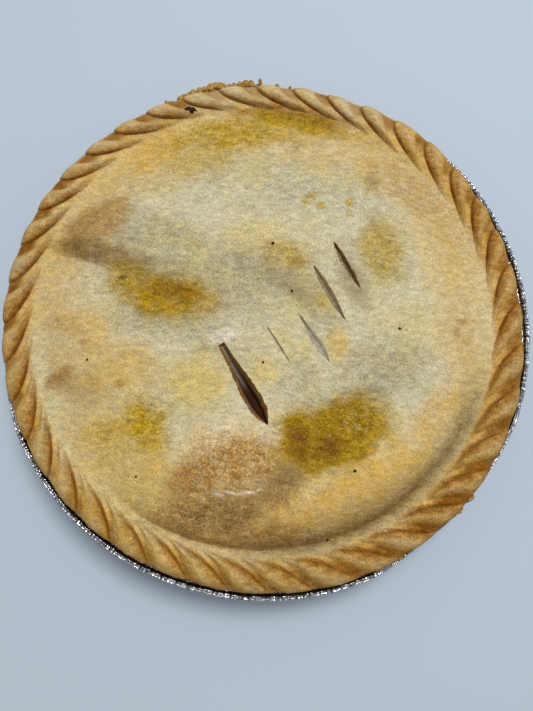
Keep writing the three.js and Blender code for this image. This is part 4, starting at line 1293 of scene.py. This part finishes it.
def crumb_mesh(pie, crumb, seed):
    """A crumb that lies against the crust's edge"""
    turn = math.radians(crumb.angle)
    out = np.array([math.cos(turn), math.sin(turn), 0])
    side = np.array([-out[1], out[0], 0])
    middle = np.array([pie.shift_x, pie.shift_y, pie.ledge + CRUMB_LIFT * crumb.up]) + crumb.radius * out
    axes = [crumb.out * out, crumb.along * side, (0, 0, crumb.up)]
    return lumpy_ball(middle, axes, CRUMB_ROUGHNESS, seed)


def small_crumbs():
    """Small crumbs scattered between the large ones"""
    draw = np.random.default_rng(SMALL_CRUMB_SEED)
    for angle in draw.uniform(*SMALL_CRUMB_ANGLES, SMALL_CRUMBS):
        along, out, up = draw.uniform(*SMALL_CRUMB_SIZES, 3)
        yield Crumb(angle, draw.uniform(*SMALL_CRUMB_RADII), along, out, up)


def spot_mesh(tree, spot, rise, seed):
    """A charred spot, sunk in the surface under it"""
    x, y, radius = spot
    place = tree.ray_cast(Vector((x, y, ABOVE_PIE)) * MM, Vector((0, 0, -1)))[0]
    if place is None:
        raise RuntimeError("a charred spot lies beside the pie")
    middle = (x, y, place.z / MM)
    return lumpy_ball(middle, np.diag([radius, radius, rise * radius]), SPOT_ROUGHNESS, seed)


# Operators

class STEAKPIE_OT_bake_pie(bpy.types.Operator):
    """Bake the pie's skin over its solid: crimp, lid, slits and stains"""
    bl_idname = "steakpie.bake_pie"
    bl_label = "Bake Pie"

    def execute(self, context):
        pie = in_millimetres(context.scene.pie_sizes)
        rings, marks = pie_rings(pie)
        piece = mesh_object("baked_pie", *skin(rings))
        for name, values in zip(CRIMP_MARKS, marks.T):
            store(piece.data, name, values)
        cut_slits(pie, piece)
        piece.data.set_sharp_from_angle(angle=PIE_SHARP)
        paint_pie(pie, piece.data)
        piece.data.materials.clear()
        piece.data.materials.append(baked_pastry())
        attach(piece, "root")
        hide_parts("pie")
        return {"FINISHED"}


class STEAKPIE_OT_char_spots(bpy.types.Operator):
    """Char a blister on the crimp and specks on the lid"""
    bl_idname = "steakpie.char_spots"
    bl_label = "Char Spots"

    def execute(self, context):
        graph = context.evaluated_depsgraph_get()
        tree = BVHTree.FromObject(bpy.data.objects["baked_pie"], graph)
        parts = [spot_mesh(tree, spot, BLISTER_RISE, BLISTER_SEED + i) for i, spot in enumerate(BLISTER)]
        parts += [spot_mesh(tree, spot, SPECK_RISE, SPECK_SEED + i) for i, spot in enumerate(SPECKS)]
        piece = mesh_object("charred_spots", *joined(parts))
        piece.data.materials.append(charred_pastry())
        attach(piece, "root")
        return {"FINISHED"}


class STEAKPIE_OT_break_crumbs(bpy.types.Operator):
    """Break crumbs of the bottom crust out of the edge"""
    bl_idname = "steakpie.break_crumbs"
    bl_label = "Break Crumbs"

    def execute(self, context):
        pie = in_millimetres(context.scene.pie_sizes)
        crumbs = [*CRUMBS, *small_crumbs()]
        parts = [crumb_mesh(pie, crumb, CRUMB_SEED + i) for i, crumb in enumerate(crumbs)]
        piece = mesh_object("crust_crumbs", *joined(parts))
        piece.data.set_sharp_from_angle(angle=CRUMB_SHARP)
        piece.data.materials.append(crumbly_edge())
        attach(piece, "root")
        return {"FINISHED"}


class STEAKPIE_OT_press_plate(bpy.types.Operator):
    """Press the foil plate with its flutes and rolled edge"""
    bl_idname = "steakpie.press_plate"
    bl_label = "Press Plate"

    def execute(self, context):
        foil = in_millimetres(context.scene.foil_sizes)
        piece = mesh_object("pressed_foil_plate", *skin(plate_rings(foil)))
        piece.data.set_sharp_from_angle(angle=FOIL_SHARP)
        piece.data.materials.append(crumpled_foil())
        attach(piece, "root")
        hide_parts("foil_plate")
        return {"FINISHED"}


class STEAKPIE_OT_set_studio(bpy.types.Operator):
    """Set the floor, the light and the camera"""
    bl_idname = "steakpie.set_studio"
    bl_label = "Set Studio"

    def execute(self, context):
        scene = context.scene
        studio = scene.studio_settings
        scene.view_settings.view_transform = "Standard"
        self.lay_floor(scene)
        self.hang_lamp(scene, studio)
        self.fill_light(scene, studio)
        self.place_camera(scene, studio)
        return {"FINISHED"}

    def lay_floor(self, scene):
        """Lay a plain pale floor"""
        corners = [(-1, -1, 0), (1, -1, 0), (1, 1, 0), (-1, 1, 0)]
        floor = mesh_object("floor", FLOOR_HALF * np.array(corners), [(0, 1, 2, 3)])
        floor.data.materials.append(matt_floor())
        floor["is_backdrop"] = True

    def hang_lamp(self, scene, studio):
        """Hang one soft square lamp that shines on the pie"""
        lamp = bpy.data.lights.new("soft_lamp", "AREA")
        lamp.shape = "SQUARE"
        lamp.size = studio.lamp_width
        lamp.energy = studio.lamp_power
        hanger = bpy.data.objects.new("soft_lamp", lamp)
        hanger.location = studio.lamp_place
        hanger.rotation_euler = Vector(studio.lamp_place).to_track_quat("Z", "Y").to_euler()
        scene.collection.objects.link(hanger)

    def fill_light(self, scene, studio):
        """Let in light from all round"""
        scene.world = bpy.data.worlds.new("studio_fill")
        scene.world.use_nodes = True
        tree = scene.world.node_tree
        direction = add_node(tree, "TexCoord", out="Generated")
        height = add_node(tree, "SeparateXYZ", {"Vector": direction}, "Z")
        shade = add_node(tree, "ValToRGB", {"Fac": height})
        stops = shade.node.color_ramp.elements
        for place, light in SKY:
            stop = stops[0] if place == 0 else stops.new(place)
            stop.color = (light, light, light, 1)
        stops.remove(stops[-1])
        set_inputs(tree, tree.nodes["Background"], {"Color": shade, "Strength": studio.fill})

    def place_camera(self, scene, studio):
        """Stand the camera above the near half of the lid, looking down"""
        tilt, roll = studio.camera_tilt, studio.camera_roll
        right = Vector((1, 0, 0))
        up = Vector((0, math.cos(tilt), math.sin(tilt)))
        back = Vector((0, -math.sin(tilt), math.cos(tilt)))
        turned_right = math.cos(roll) * right + math.sin(roll) * up
        turned_up = math.cos(roll) * up - math.sin(roll) * right
        camera = bpy.data.objects.new("camera", bpy.data.cameras.new("camera"))
        camera.data.lens = studio.lens
        camera.data.clip_start = 0.01
        axes = Matrix((turned_right, turned_up, back)).transposed()
        camera.matrix_world = Matrix.Translation(studio.camera_place) @ axes.to_4x4()
        scene.collection.objects.link(camera)
        scene.camera = camera


class STEAKPIE_PT_sidebar(bpy.types.Panel):
    """Steps that build the pie, with its sizes and colours"""
    bl_label = "Steak Pie"
    bl_idname = "STEAKPIE_PT_sidebar"
    bl_space_type = "VIEW_3D"
    bl_region_type = "UI"
    bl_category = "Steak Pie"

    def draw(self, context):
        for operator in OPERATORS:
            self.layout.operator(operator.bl_idname)
        for name, kind in GROUPS.items():
            box = self.layout.box()
            box.label(text=kind.__doc__)
            for prop in kind.__annotations__:
                box.prop(getattr(context.scene, name), prop)


GROUPS = {
    "pie_sizes": PieSizes,
    "pie_colours": PieColours,
    "foil_sizes": FoilSizes,
    "studio_settings": StudioSettings,
}
OPERATORS = (
    STEAKPIE_OT_bake_pie,
    STEAKPIE_OT_char_spots,
    STEAKPIE_OT_break_crumbs,
    STEAKPIE_OT_press_plate,
    STEAKPIE_OT_set_studio,
)
CLASSES = (*GROUPS.values(), *OPERATORS, STEAKPIE_PT_sidebar)


def register():
    """Add the settings, the steps and the panel"""
    for kind in CLASSES:
        bpy.utils.register_class(kind)
    for name, kind in GROUPS.items():
        setattr(bpy.types.Scene, name, bpy.props.PointerProperty(type=kind))


def unregister():
    """Take them out again"""
    for name in GROUPS:
        delattr(bpy.types.Scene, name)
    for kind in reversed(CLASSES):
        bpy.utils.unregister_class(kind)


def main():
    """Build the pie and work out the boxes of the solids and of the dressed pie"""
    register()
    bpy.ops.steakpie.bake_pie()
    bpy.ops.steakpie.char_spots()
    bpy.ops.steakpie.break_crumbs()
    bpy.ops.steakpie.press_plate()
    bpy.ops.steakpie.set_studio()
    boxes = {"cad": CAD_BOX, "visual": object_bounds()}
    {name: [list(corner) for corner in box] for name, box in boxes.items()}


if __name__ == "__main__":
    main()
